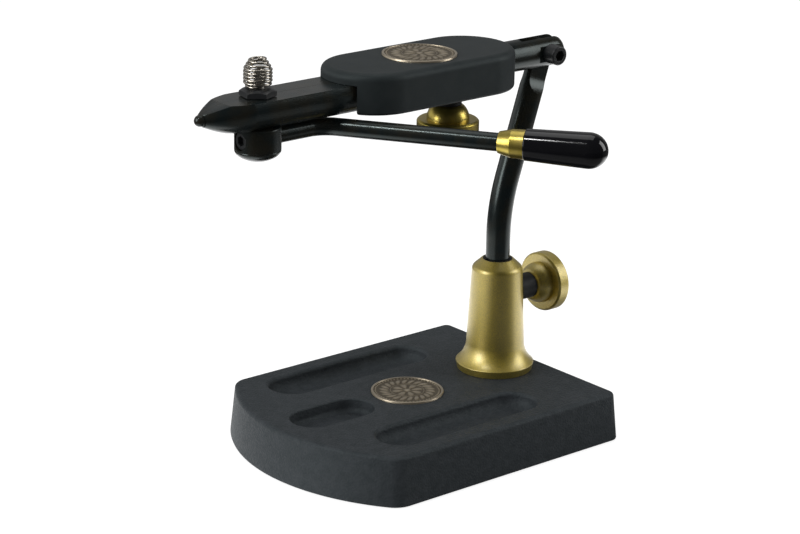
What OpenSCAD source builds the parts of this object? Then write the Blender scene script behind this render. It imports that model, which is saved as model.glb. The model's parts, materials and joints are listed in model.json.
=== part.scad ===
// Fly tying vise on a pedestal: a cast base with tool troughs, a turned brass pedestal, a bent steel
// stem, and a head that tilts and turns on its shaft and holds sprung jaws, opened by a cam lever.
// The origin is on the stem's axis at table height. +Z is up, and the jaws point to -X.
// Sizes are in millimetres.

/* [Base] */
// Width of the base across its top
base_w = 100.4; // [94:0.1:120]
// From the stem's axis back to the base's rear edge
base_rear = 18.9; // [17:0.1:30]
// From the stem's axis forward to where the straight sides end
base_side = 90.9; // [88:0.1:110]
// How far the curved front bows out past the ends of the sides
base_bow = 18.6; // [15:0.1:24]
// Height of the base's top face above the table
base_h = 19.5; // [17:0.1:26]
// How much wider the foot of the base is than its top, on each side
base_draft = 1.95; // [0.5:0.05:4]
// Radius of the two front corners
front_corner_r = 7.2; // [4:0.1:10]
// Radius of the two rear corners
rear_corner_r = 3; // [2.5:0.1:8]
// Radius of the rounded edge of the base's top
base_edge_r = 1.8; // [0.8:0.1:3]
// Thickness of the non-slip pad under the base
pad_t = 1.5; // [1:0.1:3]
// How far the pad stands below the casting
pad_proud = 0.3; // [0.2:0.05:0.8]
// Margin from the base's foot to the pad
pad_margin = 5; // [4.5:0.1:10]

/* [Troughs] */
// Half width of the two long tool troughs between their walls
trough_r = 9.3; // [7:0.1:11]
// Distance between the end centres of a long trough
trough_span = 56; // [40:0.5:62]
// From the stem's axis forward to the middle of the long troughs
trough_x = 48; // [42:0.1:54]
// From the base's middle line out to each long trough
trough_y = 32.8; // [30:0.1:34]
// Depth of the long troughs
trough_depth = 6; // [5:0.1:8]
// Radius where the floor of a long trough meets its wall
trough_floor_r = 4.2; // [2:0.1:4.6]
// Radius of the soft lip of a long trough
trough_lip_r = 1.6; // [0.5:0.1:2.5]
// Half width of the small front tray between its walls
tray_r = 9.1; // [6:0.1:10]
// Distance between the end centres of the small tray
tray_span = 18; // [8:0.5:19]
// From the stem's axis forward to the middle of the small tray
tray_x = 82.5; // [81:0.1:84]
// Depth of the small tray
tray_depth = 5.4; // [5:0.1:7]
// Radius where the floor of the small tray meets its wall
tray_floor_r = 2; // [1:0.1:4]
// Radius of the lip of the small tray
tray_lip_r = 0.6; // [0.3:0.05:1.5]

/* [Medallions] */
// Radius of the two round medallions
medal_r = 14.1; // [10:0.1:15.5]
// Thickness of a medallion
medal_t = 1.9; // [1.2:0.1:2.4]
// How far a medallion stands above its face
medal_proud = 0.7; // [0.3:0.05:1]
// Width of a medallion's raised rim
medal_rim = 0.9; // [0.4:0.05:2]
// Depth of a medallion's field below its rim
medal_field = 0.35; // [0.1:0.05:0.6]
// From the stem's axis forward to the base medallion's centre
medal_x = 45.4; // [44:0.1:47]

/* [Pedestal] */
// Height of the brass pedestal above the base
pedestal_h = 45.6; // [40:0.1:52]
// Radius of the pedestal under its shoulder
pedestal_top_r = 9.95; // [9:0.05:11]
// Radius of the pedestal where the flare begins
pedestal_low_r = 11.45; // [10.8:0.05:12.5]
// Radius of the widest part of the pedestal's foot
pedestal_ring_r = 15.5; // [14:0.05:17.5]
// Radius of the pedestal where it meets the base
pedestal_foot_r = 14.8; // [13:0.05:16.5]
// Height of the band under the widest part of the foot
pedestal_band_h = 3; // [2:0.1:5]
// Height of the flare above the band
pedestal_flare_h = 8.6; // [6:0.1:11]
// Height of the sloping shoulder at the top
pedestal_shoulder_h = 3.4; // [2:0.1:5]
// Radius of the flat rim round the stem's hole
pedestal_rim_r = 6.2; // [6:0.05:7.5]
// Height of the stem lock's axis above the base
lock_h = 30.9; // [26:0.1:36]
// Radius of the screw that holds the pedestal to the base
foot_screw_r = 4; // [3:0.05:4.5]
// Radius of the foot screw's head
foot_screw_head_r = 6.5; // [5:0.05:7.5]
// Height of the foot screw's head
foot_screw_head_h = 8; // [5:0.1:8.5]
// How far the foot screw reaches into the pedestal
foot_screw_reach = 10; // [7:0.1:10.5]

/* [Stem] */
// Radius of the stem's rod
stem_r = 4.7625; // [4:0.05:5]
// Height of the stem's lower end above the base
stem_low_h = 16.5; // [16:0.1:20]
// From the pedestal's top up to where the stem's bend begins
stem_rise = 9.2; // [8:0.1:16]
// Radius of the stem's bend
stem_bend_r = 75; // [50:1:110]
// Angle by which the upper stem leans back
stem_lean = 18.2; // [12:0.1:24]
// Length of the straight upper stem up to the tilt joint
stem_neck = 50.6; // [40:0.1:60]
// Wall of the plastic sleeve round the stem
sleeve_t = 0.85; // [0.6:0.05:1.1]
// How far the stem can be pushed down from its resting height
stem_down = 4; // [2:0.1:4.5]

/* [Tilt joint] */
// Radius of the head shaft where it shows
shaft_r = 6.1; // [5.7:0.05:6.7]
// Half thickness of the stem's flattened tongue
tongue_half = 2; // [1.6:0.05:2.6]
// Length of the tongue's flats below the tilt screw
tongue_len = 9.6; // [9.4:0.1:14]
// Depth of the slot in the shaft's forked end, from the tilt screw
fork_depth = 12.4; // [12:0.1:14]
// From the tilt screw back to where the fork's end begins to round off
fork_tail = 3.8; // [0:0.1:5]
// Distance of the flat face under the tilt screw's head from the middle plane
fork_face = 5.2; // [4.4:0.05:5.5]
// Radius of that round flat face
fork_spot_r = 6.2; // [6.15:0.05:7]
// Radius of the tilt screw
tilt_screw_r = 2.5; // [1.8:0.05:2.6]
// Radius of the tilt screw's head
tilt_head_r = 3.8; // [3.2:0.05:4.2]
// Height of the tilt screw's head
tilt_head_h = 5.4; // [3:0.1:6]

/* [Head] */
// From the tilt screw forward to the head's rear end
shaft_show = 20.6; // [19:0.1:30]
// Overall length of the head
head_len = 83.4; // [80:0.1:100]
// Overall width of the head
head_w = 38.4; // [36:0.1:42]
// Height of the head's top above the shaft's axis
head_up = 7.6; // [7.4:0.05:9]
// Depth of the head's underside below the shaft's axis
head_down = 7.7; // [7.3:0.05:9]
// Radius of the head's top edge
head_top_edge_r = 2.8; // [1:0.1:3.6]
// Radius of the head's bottom edge
head_low_edge_r = 1.2; // [0.5:0.1:2]
// Half width of the slot that takes the jaws
slot_half = 10.6; // [10.2:0.05:12]
// Length of that slot
slot_len = 32.5; // [31:0.1:34]
// Radius of the shaft's journal inside the head
journal_r = 4; // [3.5:0.05:4.4]
// Wall of the bronze bushes round the journal
bush_t = 1.3; // [0.8:0.05:1.6]
// Length of each bush
bush_len = 9; // [6:0.1:12]
// From the head's middle back to the head lock's axis
head_lock_back = 14.9; // [12:0.1:18]

/* [Lock knobs] */
// Radius of a lock knob's disc
knob_r = 11.9; // [10:0.1:13]
// Thickness of a lock knob's disc
knob_t = 5.6; // [4:0.1:8]
// Radius of the bevel round a knob's disc
knob_edge = 0.7; // [0.3:0.05:1.2]
// Length of a knob's domed hub
knob_hub_len = 5.6; // [4:0.1:8]
// Radius of the hub where it meets the disc
knob_hub_r = 8.2; // [7.5:0.1:9.4]
// Radius of the hub's small end
knob_neck_r = 5.5; // [5.2:0.05:6.5]
// Radius of the black collar under a knob
collar_r = 5.1; // [4.5:0.05:5.2]
// Length of the pedestal knob's collar
base_collar_len = 7.8; // [6:0.1:10]
// Length of the head knob's collar
head_collar_len = 6.2; // [5:0.1:8]
// Radius of a lock screw's thread
lock_screw_r = 3.175; // [2.5:0.025:3.3]

/* [Jaws] */
// Radius of the round bar from which the jaws are cut
bar_r = 9.5; // [9:0.05:9.9]
// Height of the jaws' flat top above the shaft's axis
jaw_up = 3.1; // [2.6:0.05:3.6]
// Depth of the jaws' flat underside below the shaft's axis
jaw_down = 7.8; // [7.2:0.05:8.4]
// From the head's front end forward to the cam's axis
cam_reach = 33.6; // [31:0.1:42]
// From the cam's axis forward to where the nose begins to taper
nose_setback = 7.5; // [7:0.1:10]
// Length of the tapered nose, with its tip
nose_len = 20; // [16:0.1:26]
// How far the nose swells out past a straight taper
nose_bow = 1.1; // [0.5:0.05:1.3]
// From the tip's centre back to where the slope on the nose meets the jaws' flat top
nose_flat = 9.3; // [7:0.1:12]
// Radius of the blunt tip
tip_r = 2.1; // [1.2:0.05:2.2]
// Depth of the tip's centre below the shaft's axis
tip_drop = 2; // [1:0.05:2.5]
// Gap at the seam between the closed jaws
seam = 0.1; // [0.06:0.01:0.2]
// From the cam's axis back to the jaws' pivot screws
jaw_lever = 52; // [50:0.1:56]
// Distance of each pivot screw from the middle plane
jaw_pivot_y = 4.2; // [3.8:0.05:5]
// Radius of a pivot screw's shank
jaw_pivot_r = 1.5; // [1.2:0.05:1.6]
// Radius of a pivot screw's head
jaw_pivot_head_r = 2.4; // [2:0.05:2.7]
// Height of a pivot screw's head
jaw_pivot_head_h = 1.6; // [1:0.05:1.9]
// Outer radius of the spring that closes the jaws
jaw_spring_r = 2.2; // [1.5:0.05:2.4]
// Half length of the spring that closes the jaws
jaw_spring_half = 5; // [4:0.1:5.6]

/* [Cam and lever] */
// Radius of the cam between the jaws
cam_r = 4; // [3.6:0.05:4.2]
// Half thickness of the cam across its flats
cam_half = 2.6; // [2.4:0.05:2.8]
// Free play between the closed jaws and the cam's flats
cam_play = 0.2; // [0.15:0.01:0.3]
// Radius of the cam's post below the cam
post_low_r = 3.2; // [3:0.05:3.4]
// Radius of the cam's post above the cam
post_up_r = 2.9; // [2.7:0.05:3.2]
// Radius of the thread at the post's top
post_thread_r = 2.5; // [2:0.05:2.6]
// Radius of the hub under the jaws
hub_r = 8.5; // [7.5:0.05:9]
// Height of the hub's cylindrical wall
hub_wall = 8.6; // [8:0.1:11]
// Height of the hub's domed end
hub_dome = 4.1; // [2:0.1:5]
// Radius of the flat at the end of the dome
hub_flat_r = 2.6; // [1.5:0.1:4]
// Running gap between the hub and the jaws
hub_gap = 0.1; // [0.05:0.01:0.3]
// Depth of the lever's axis below the shaft's axis
lever_drop = 12.4; // [11.8:0.1:13]
// Radius of the lever's rod
lever_r = 3.35; // [2.8:0.05:3.5]
// From the cam's axis back to the corner of the lever's bend
lever_corner = 28.9; // [27:0.1:34]
// Radius of the lever's bend
lever_bend_r = 11; // [8:0.1:16]
// Angle of the lever's bend
lever_angle = 56.2; // [45:0.1:62]
// From the bend's corner along the lever to the ferrule
ferrule_at = 66.6; // [60:0.1:72]
// Length of the ferrule's cone
ferrule_cone = 4.8; // [4:0.1:8]
// Length of the ferrule's band
ferrule_band = 5; // [4:0.1:8]
// Radius of the ferrule's small end
ferrule_r0 = 4; // [3.8:0.05:4.6]
// Radius of the ferrule where the cone meets the band
ferrule_r1 = 5.2; // [4.7:0.05:5.5]
// Radius of the ferrule at the grip
ferrule_r2 = 5.35; // [5.2:0.05:5.6]
// Length of the grip
grip_len = 30; // [26:0.1:40]
// Radius of the grip at the ferrule
grip_r0 = 5.8; // [5.6:0.05:6.2]
// Largest radius of the grip
grip_r1 = 6.6; // [6.2:0.05:7.2]
// How far the rod reaches into the grip
grip_hold = 14; // [8:0.1:20]

/* [Nut and material spring] */
// Width of the nut across its flats
nut_af = 11.8; // [10:0.1:12.5]
// Height of the nut
nut_h = 2.85; // [2.4:0.05:4.5]
// Radius of the nut's flat top
nut_top_r = 4.5; // [4.2:0.05:4.9]
// Thickness of the washer under the nut
washer_t = 0.25; // [0.2:0.05:1]
// Radius of the washer under the nut
washer_r = 5; // [4.4:0.05:5.4]
// Diameter of the material spring's wire
wire_d = 0.82; // [0.6:0.01:0.86]
// Advance of the material spring in one turn
spring_pitch = 1.28; // [1.27:0.01:1.6]
// Number of turns of the material spring
spring_turns = 8; // [6:1:10]
// Outer radius of the material spring at its bottom
spring_low_r = 4.4; // [4.1:0.05:4.8]
// Outer radius of the material spring at its middle
spring_mid_r = 5.3; // [4.8:0.05:5.6]
// Outer radius of the material spring at its top
spring_top_r = 3; // [2.4:0.05:3.6]

/* [Hidden] */
$fn = 72;

// Overrun of every cut past the face that it opens
over = 1;
// Radial clearance of shafts and screws in their holes
fit = 0.05;
// Gap between faces that slide or stand just clear
gap = 0.1;
// Clearance of a hole or seat that its screw or shaft only has to pass
loose = 0.2;
// Clearance round a piece that moves in its hollow
roomy = 0.4;
// Lead-in bevel on pins and screw ends
bevel = 0.4;
// Sides of a socket or nut
hex_sides = 6;
// Steps along a rounded edge
edge_steps = 5;
// Steps along the domed hub of a lock knob
hub_steps = 8;
// The knob's hub is the part of an oval arc past this angle
hub_angle = 35;
// Steps along the nose's swelling taper
nose_steps = 12;
// A bend is drawn this much slimmer than its rod
bend_slim = 0.05;
// The straight rods run this far into the bend
bend_lap = 0.5;
// Sides of the full circle of the stem's bend
bend_sides = 144;

base_half = base_w / 2;
foot_z = pad_proud;
bow_r = (base_half * base_half + base_bow * base_bow) / (2 * base_bow);
bow_x = bow_r - base_side - base_bow;
least_corner_r = 1;
lip_most_share = 0.33;
medal_ring_share = 0.72;
medal_boss_share = 0.3;
corner_steps = 6;
bow_steps = 26;

// The stem's path, and the tilt joint at its top
pedestal_z = base_h + pedestal_h;
stem_low_z = base_h + stem_low_h;
stem_bend_z = pedestal_z + stem_rise;
pivot_x = stem_bend_r * (1 - cos(stem_lean)) + stem_neck * sin(stem_lean);
pivot_z = stem_bend_z + stem_bend_r * sin(stem_lean) + stem_neck * cos(stem_lean);
sleeve_r = stem_r + fit + sleeve_t;
sleeve_slit = 1.6;
run_out_r = 2 * stem_r;
bore_floor = stem_low_z - stem_down - over;
lock_z = base_h + lock_h;
lock_tip = sleeve_r + fit + gap;
spot_r = collar_r + bevel;
shoulder_round = 1.2;
shoulder_angle = 55;
lock_r_share = (lock_h - pedestal_band_h - pedestal_flare_h)
    / (pedestal_h - pedestal_shoulder_h - pedestal_band_h - pedestal_flare_h);
pedestal_lock_r = pedestal_low_r + (pedestal_top_r - pedestal_low_r) * lock_r_share;
collar_bite = 0.8;
lock_seat = pedestal_lock_r - collar_bite;
foot_head_depth = foot_screw_head_h + pad_t + gap;

// Stations along the head, measured from the tilt screw
head_back = -shaft_show;
head_front = head_back - head_len;
head_mid = (head_back + head_front) / 2;
head_lock_x = head_mid + head_lock_back;
head_span = head_len - head_w;
slot_back = head_front + slot_len;
slot_roof = jaw_up + gap;
cam_x = head_front - cam_reach;
nose_x = cam_x - nose_setback;
tip_x = nose_x - nose_len + tip_r;
jaw_pivot_x = cam_x + jaw_lever;
jaw_back = slot_back - 2 * roomy;
bush_r = journal_r + fit + bush_t;
bore_end_wall = 2;
bore_front = slot_back + bore_end_wall;
shaft_sink = 1.9;
shaft_shoulder = head_back - shaft_sink;
brake_share = 0.9;
brake_r = lock_screw_r * brake_share;
groove_share = 0.8;
groove_r = journal_r * groove_share;
groove_half = brake_r + roomy;
brake_top = groove_r + gap;
brake_len = 2.1;
head_tip = brake_top + brake_len + fit;

// The mechanism between the jaws
cam_low = -5;
cam_high = 0.4;
thread_show = 2.4;
post_top = jaw_up + washer_t + nut_h + thread_show;
hub_top = -jaw_down - hub_gap;
hub_low = hub_top - hub_wall;
dome_angle = 40;
lever_z = -lever_drop;
post_tail = 2.4;
post_low = lever_z - post_tail;
set_screw_sunk = 0.9;
set_socket_depth = 2;
nut_turn = 19.6;
nut_cone_share = 0.38;
socket_r_share = 0.6;
socket_depth_share = 0.55;
grip_end_len = 7;
tail_relief = 0.6;
relief_x = jaw_pivot_x + jaw_pivot_y / 2;
pivot_roof = 3.1;
pivot_seat = jaw_pivot_head_h + gap;
jaw_spring_x = (jaw_pivot_x + jaw_back) / 2;
jaw_spring_wire = 0.7;
jaw_spring_share = 1 / 3;
jaw_spring_z = -jaw_down * jaw_spring_share;
nose_span = nose_len - tip_r;
nose_tilt = -atan(tip_drop / nose_span);
nose_reach_share = 1.6;
nose_reach = nose_len * nose_reach_share;
nut_z = jaw_up + fit + washer_t;
hook_step = 0.5;
hook_groove = 0.12;
hook_width = 0.35;

// The material spring winds up from the nut, left-handed, and draws in over its last turns
spring_z = nut_z + nut_h + wire_d / 2 + fit;
spring_start = 229;
rings_per_turn = 8;
tube_sides = 6;
spring_rings = round(spring_turns * rings_per_turn);
low_turns = 1;
top_turns = 3;

black = "#2c2e31";
steel_black = "#34373a";
gloss_black = "#17181a";
brass = "#bfa863";
bronze = "#8f7f66";
steel = "#b9b5ac";
rubber_black = "#1b1b1c";
plastic_black = "#151617";
nylon = "#d9d4c4";
bush_bronze = "#9c7a44";

// Points on an arc about c, from angle a0 to a1, in n steps
function arc(c, r, a0, a1, n) =
    [for (i = [0:n]) let (a = a0 + (a1 - a0) * i / n) c + r * [cos(a), sin(a)]];

// The same arc without its two end points
function inner_arc(c, r, a0, a1, n) = [for (i = [1:n - 1]) arc(c, r, a0, a1, n)[i]];

// The base seen from above, grown by g on every side
function base_outline(g) =
    let (rear_r = max(rear_corner_r + g, least_corner_r), front_r = max(front_corner_r + g, least_corner_r),
        rear_x = base_rear + g - rear_r, rear_y = base_half + g - rear_r,
        front_y = base_half + g - front_r,
        front_x = bow_x - sqrt(pow(bow_r + g - front_r, 2) - pow(front_y, 2)),
        front_a = atan2(front_y, front_x - bow_x))
    concat(
        arc([rear_x, -rear_y], rear_r, -90, 0, corner_steps),
        arc([rear_x, rear_y], rear_r, 0, 90, corner_steps),
        arc([front_x, front_y], front_r, 90, front_a, corner_steps),
        inner_arc([bow_x, 0], bow_r + g, front_a, 360 - front_a, bow_steps),
        arc([front_x, -front_y], front_r, 360 - front_a, 270, corner_steps));

// How far the drafted wall stands out at height z
function wall_grow(z) = base_draft * (1 - z / base_h);

// Radius of the nose at a share t of the way from the tip's centre to the full bar
function nose_r(t) = tip_r + (bar_r - tip_r) * t + 4 * nose_bow * t * (1 - t);

// A point of a dome of height h that runs from radius r0 to r1, by angle a along an oval from angle a0
function dome_point(a, a0, r0, r1, h) =
    [r0 + (r1 - r0) * (sin(a) - sin(a0)) / (1 - sin(a0)), h * (1 - cos(a) / cos(a0))];

function level(points, z) = [for (p = points) [p[0], p[1], z]];

// A closed skin over rings of points, each with as many points as the next
module loft(rings) {
    n = len(rings[0]);
    m = len(rings);
    points = [for (ring = rings) for (p = ring) p];
    sides = [for (j = [0:m - 2]) for (i = [0:n - 1])
        for (t = [0, 1]) let (a = j * n + i, b = j * n + (i + 1) % n)
            t == 0 ? [a, a + n, b] : [b, a + n, b + n]];
    low = [for (i = [1:n - 2]) [0, i, i + 1]];
    high = [for (i = [1:n - 2]) [(m - 1) * n, (m - 1) * n + i + 1, (m - 1) * n + i]];
    polyhedron(points = points, faces = concat(sides, low, high));
}

// A profile in radius and height, turned at both ends of a straight run along X
module capsule(span, profile) {
    for (side = [-1, 1])
        translate([side * span / 2, 0, 0]) rotate_extrude() polygon(profile);
    far_side = [for (i = [len(profile) - 1:-1:0]) if (profile[i][0] > 0) [-profile[i][0], profile[i][1]]];
    rotate([90, 0, 90]) linear_extrude(height = span, center = true) polygon(concat(profile, far_side));
}

// The hollow of a trough whose rim lies at height 0; its fillets give way where the wall is short
module dish(span, r, depth, floor_r, lip_r) {
    lip = min(lip_r, depth * lip_most_share);
    round = min(floor_r, depth - lip);
    capsule(span, concat(
        [[0, -depth]],
        arc([r - round, round - depth], round, -90, 0, edge_steps),
        arc([r + lip, -lip], lip, 180, 90, edge_steps),
        [[r + lip, over], [0, over]]));
}

module bore(r, z0, z1) {
    translate([0, 0, z0]) cylinder(h = z1 - z0, r = r);
}

// A rod along +X from x0 to x1
module rod_x(r, x0, x1) {
    translate([x0, 0, 0]) rotate([0, 90, 0]) cylinder(h = x1 - x0, r = r);
}

// A rod along +Y from y0 to y1
module rod_y(r, y0, y1) {
    translate([0, y1, 0]) rotate([90, 0, 0]) cylinder(h = y1 - y0, r = r);
}

module box(x0, x1, y0, y1, z0, z1) {
    translate([x0, y0, z0]) cube([x1 - x0, y1 - y0, z1 - z0]);
}

// A turned rod with a bevel at each end, standing on z0
module pin(r, z0, z1, cut) {
    rotate_extrude() polygon([[0, z0], [r - cut, z0], [r, z0 + cut], [r, z1 - cut], [r - cut, z1], [0, z1]]);
}

// A socket cap screw along +Z: the head's underside is at 0 and the shank runs down
module cap_screw(r, reach, head_r, head_h) {
    difference() {
        union() {
            rotate_extrude() polygon([[0, 0], [head_r, 0], [head_r, head_h - bevel],
                [head_r - bevel, head_h], [0, head_h]]);
            pin(r, -reach, bevel, bevel / 2);
        }
        translate([0, 0, head_h * (1 - socket_depth_share)])
            cylinder(h = head_h, r = head_r * socket_r_share, $fn = hex_sides);
    }
}

module at_pivot() {
    translate([pivot_x, 0, pivot_z]) children();
}

module base_block() {
    top_levels = [for (i = [0:edge_steps]) let (a = 90 * i / edge_steps)
        [wall_grow(base_h - base_edge_r) - base_edge_r * (1 - cos(a)), base_h - base_edge_r * (1 - sin(a))]];
    color(black) difference() {
        loft(concat([level(base_outline(wall_grow(foot_z)), foot_z)],
            [for (l = top_levels) level(base_outline(l[0]), l[1])]));
        for (side = [-1, 1])
            translate([-trough_x, side * trough_y, base_h])
                dish(trough_span, trough_r, trough_depth, trough_floor_r, trough_lip_r);
        translate([-tray_x, 0, base_h]) dish(tray_span, tray_r, tray_depth, tray_floor_r, tray_lip_r);
        translate([-medal_x, 0, 0]) bore(medal_r + fit, base_h + medal_proud - medal_t, base_h + over);
        translate([0, 0, -over]) linear_extrude(height = pad_t + over)
            polygon(base_outline(base_draft - pad_margin));
        bore(foot_screw_head_r + roomy, 0, foot_head_depth);
        bore(foot_screw_r + loose, 0, base_h + over);
    }
}

module base_pad() {
    color(rubber_black) linear_extrude(height = pad_t)
        polygon(base_outline(base_draft - pad_margin - gap));
}

// A plain round medallion with a raised rim and a shallow ring round a low centre boss
module medallion() {
    field = medal_t - medal_field;
    ring_r = medal_r * medal_ring_share;
    boss_r = medal_r * medal_boss_share;
    color(bronze) rotate_extrude() polygon([[0, 0], [medal_r, 0], [medal_r, medal_t - medal_field / 2],
        [medal_r - medal_field / 2, medal_t], [medal_r - medal_rim, medal_t],
        [medal_r - medal_rim - medal_field, field], [ring_r + medal_field, field],
        [ring_r, field + medal_field / 2], [ring_r - medal_field, field],
        [boss_r + medal_field, field], [boss_r, field + medal_field / 2], [0, field + medal_field / 2]]);
}

module base_medallion() {
    translate([-medal_x, 0, base_h + medal_proud - medal_t]) medallion();
}

module head_medallion() {
    at_pivot() translate([head_mid, 0, head_up + medal_proud - medal_t]) medallion();
}

module pedestal() {
    flare_dr = pedestal_ring_r - pedestal_low_r;
    flare_r = (flare_dr * flare_dr + pedestal_flare_h * pedestal_flare_h) / (2 * flare_dr);
    flare_a = asin(pedestal_flare_h / flare_r);
    flare_z = base_h + pedestal_band_h + pedestal_flare_h;
    shoulder_z = pedestal_z - pedestal_shoulder_h;
    color(brass) difference() {
        rotate_extrude() polygon(concat(
            [[0, base_h], [pedestal_foot_r, base_h], [pedestal_ring_r, base_h + pedestal_band_h]],
            arc([pedestal_low_r + flare_r, flare_z], flare_r, 180 + flare_a, 180, 2 * edge_steps),
            arc([pedestal_top_r - shoulder_round, shoulder_z], shoulder_round, 0, shoulder_angle, edge_steps),
            [[pedestal_rim_r + bevel, pedestal_z - bevel], [pedestal_rim_r, pedestal_z], [0, pedestal_z]]));
        bore(sleeve_r + fit, bore_floor, pedestal_z + over);
        bore(foot_screw_r + fit, 0, base_h + foot_screw_reach + gap);
        translate([0, 0, lock_z]) rod_x(lock_screw_r + fit, 0, pedestal_ring_r + over);
        translate([0, 0, lock_z]) rod_x(spot_r, lock_seat, pedestal_ring_r + over);
    }
}

module pedestal_screw() {
    reach = base_h - foot_head_depth + foot_screw_reach;
    color(steel_black) translate([0, 0, foot_head_depth]) rotate([180, 0, 0])
        cap_screw(foot_screw_r, reach, foot_screw_head_r, foot_screw_head_h);
}

// A split plastic liner, so that the lock screw grips the stem without marking it
module stem_sleeve() {
    color(plastic_black) difference() {
        bore(sleeve_r, bore_floor + gap, pedestal_z + loose);
        bore(stem_r + fit, 0, pedestal_z + over);
        box(-sleeve_r - over, 0, -sleeve_slit / 2, sleeve_slit / 2, 0, pedestal_z + over);
    }
}

module stem() {
    color(steel_black) difference() {
        union() {
            rotate_extrude() polygon([[0, stem_low_z], [stem_r - bevel, stem_low_z],
                [stem_r, stem_low_z + bevel], [stem_r, stem_bend_z + bend_lap], [0, stem_bend_z + bend_lap]]);
            translate([stem_bend_r, 0, stem_bend_z]) mirror([1, 0, 0]) rotate([90, 0, 0])
                rotate_extrude(angle = stem_lean, $fn = bend_sides)
                    translate([stem_bend_r, 0]) circle(r = stem_r - bend_slim);
            at_pivot() rotate([0, stem_lean, 0]) {
                bore(stem_r, -stem_neck - bend_lap, 0);
                intersection() {
                    bore(stem_r, 0, stem_r);
                    rod_y(stem_r, -stem_r, stem_r);
                }
            }
        }
        // The flats of the tongue, each run out by a round cutter
        at_pivot() rotate([0, stem_lean, 0]) for (side = [-1, 1])
            mirror([0, side > 0 ? 1 : 0, 0]) {
                box(-stem_r - over, stem_r + over, -stem_r - over, -tongue_half, -tongue_len, stem_r + over);
                translate([0, -tongue_half - run_out_r, -tongue_len])
                    rod_x(run_out_r, -stem_r - over, stem_r + over);
            }
        at_pivot() rod_y(tilt_screw_r + fit, -stem_r - over, stem_r + over);
    }
}

// The brass of a lock knob: the collar's seat is at 0 and the disc faces +Z
module lock_knob(collar_len) {
    disc_z = collar_len + knob_hub_len;
    color(brass) difference() {
        rotate_extrude() polygon(concat(
            [[0, collar_len]],
            [for (i = [0:hub_steps]) let (a = hub_angle + (90 - hub_angle) * i / hub_steps)
                [0, collar_len] + dome_point(a, hub_angle, knob_neck_r, knob_hub_r, knob_hub_len)],
            [[knob_r - knob_edge, disc_z], [knob_r, disc_z + knob_edge],
                [knob_r, disc_z + knob_t - knob_edge], [knob_r - knob_edge, disc_z + knob_t],
                [0, disc_z + knob_t]]));
        bore(lock_screw_r, collar_len - over, disc_z);
    }
}

module lock_collar(collar_len) {
    color(gloss_black) difference() {
        pin(collar_r, 0, collar_len, bevel / 2);
        bore(lock_screw_r + fit, -over, collar_len + over);
    }
}

// The lock's screw, from its tip inside the vise to its end inside the knob
module lock_screw(collar_len, reach) {
    color(steel_black) pin(lock_screw_r, -reach, collar_len + knob_hub_len, bevel);
}

module at_base_lock() {
    translate([lock_seat, 0, lock_z]) rotate([0, 90, 0]) children();
}

module base_knob() {
    at_base_lock() lock_knob(base_collar_len);
}

module base_knob_screw() {
    at_base_lock() lock_screw(base_collar_len, lock_seat - lock_tip);
}

module base_knob_collar() {
    at_base_lock() translate([0, 0, fit]) lock_collar(base_collar_len - 2 * fit);
}

module at_head_lock() {
    at_pivot() translate([head_lock_x, 0, -head_down]) rotate([180, 0, 0]) children();
}

module head_knob() {
    at_head_lock() lock_knob(head_collar_len);
}

module head_knob_screw() {
    at_head_lock() lock_screw(head_collar_len, head_down - head_tip);
}

module head_knob_collar() {
    at_head_lock() translate([0, 0, fit]) lock_collar(head_collar_len - 2 * fit);
}

module brake_pad() {
    color(nylon) at_pivot() translate([head_lock_x, 0, 0]) bore(brake_r, -brake_top - brake_len, -brake_top);
}

module tilt_screw() {
    color(steel_black) at_pivot() translate([0, -fork_face, 0]) rotate([90, 0, 0])
        cap_screw(tilt_screw_r, fork_face + shaft_r - bevel, tilt_head_r, tilt_head_h);
}

module head_shaft() {
    color(steel_black) at_pivot() difference() {
        union() {
            rotate([0, 90, 0]) rotate_extrude() polygon(concat(
                [[0, shaft_shoulder], [shaft_r, shaft_shoulder]],
                arc([0, fork_tail], shaft_r, 0, 90, 2 * edge_steps)));
            difference() {
                rod_x(journal_r, bore_front + gap, shaft_shoulder);
                translate([head_lock_x, 0, 0]) difference() {
                    rod_x(journal_r + over, -groove_half, groove_half);
                    rod_x(groove_r, -groove_half - over, groove_half + over);
                }
            }
        }
        box(-fork_depth, fork_tail + shaft_r + over, -tongue_half - gap, tongue_half + gap,
            -shaft_r - over, shaft_r + over);
        rod_y(fork_spot_r, -shaft_r - over, -fork_face);
        rod_y(tilt_screw_r + fit, -shaft_r - over, shaft_r + over);
    }
}

module shaft_bushes() {
    rear_bush = shaft_shoulder - loose;
    color(bush_bronze) at_pivot() for (x = [rear_bush - bush_len, bore_front + loose])
        difference() {
            rod_x(bush_r, x, x + bush_len);
            rod_x(journal_r + fit, x - over, x + bush_len + over);
        }
}

module head_housing() {
    half = head_w / 2;
    profile = concat([[0, -head_down]],
        arc([half - head_low_edge_r, head_low_edge_r - head_down], head_low_edge_r, -90, 0, edge_steps),
        arc([half - head_top_edge_r, head_up - head_top_edge_r], head_top_edge_r, 0, 90, edge_steps),
        [[0, head_up]]);
    color(black) at_pivot() difference() {
        translate([head_mid, 0, 0]) capsule(head_span, profile);
        box(head_front - over, slot_back, -slot_half, slot_half, -head_down - over, slot_roof);
        rod_x(bush_r, bore_front, head_back + over);
        rod_x(shaft_r + loose, shaft_shoulder - gap, head_back + over);
        translate([head_lock_x, 0, 0]) bore(lock_screw_r + fit, -head_down - over, 0);
        translate([head_mid, 0, 0]) bore(medal_r + fit, head_up + medal_proud - medal_t, head_up + over);
        for (side = [-1, 1])
            translate([jaw_pivot_x, side * jaw_pivot_y, 0]) bore(jaw_pivot_r, 0, slot_roof + pivot_roof);
    }
}

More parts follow.
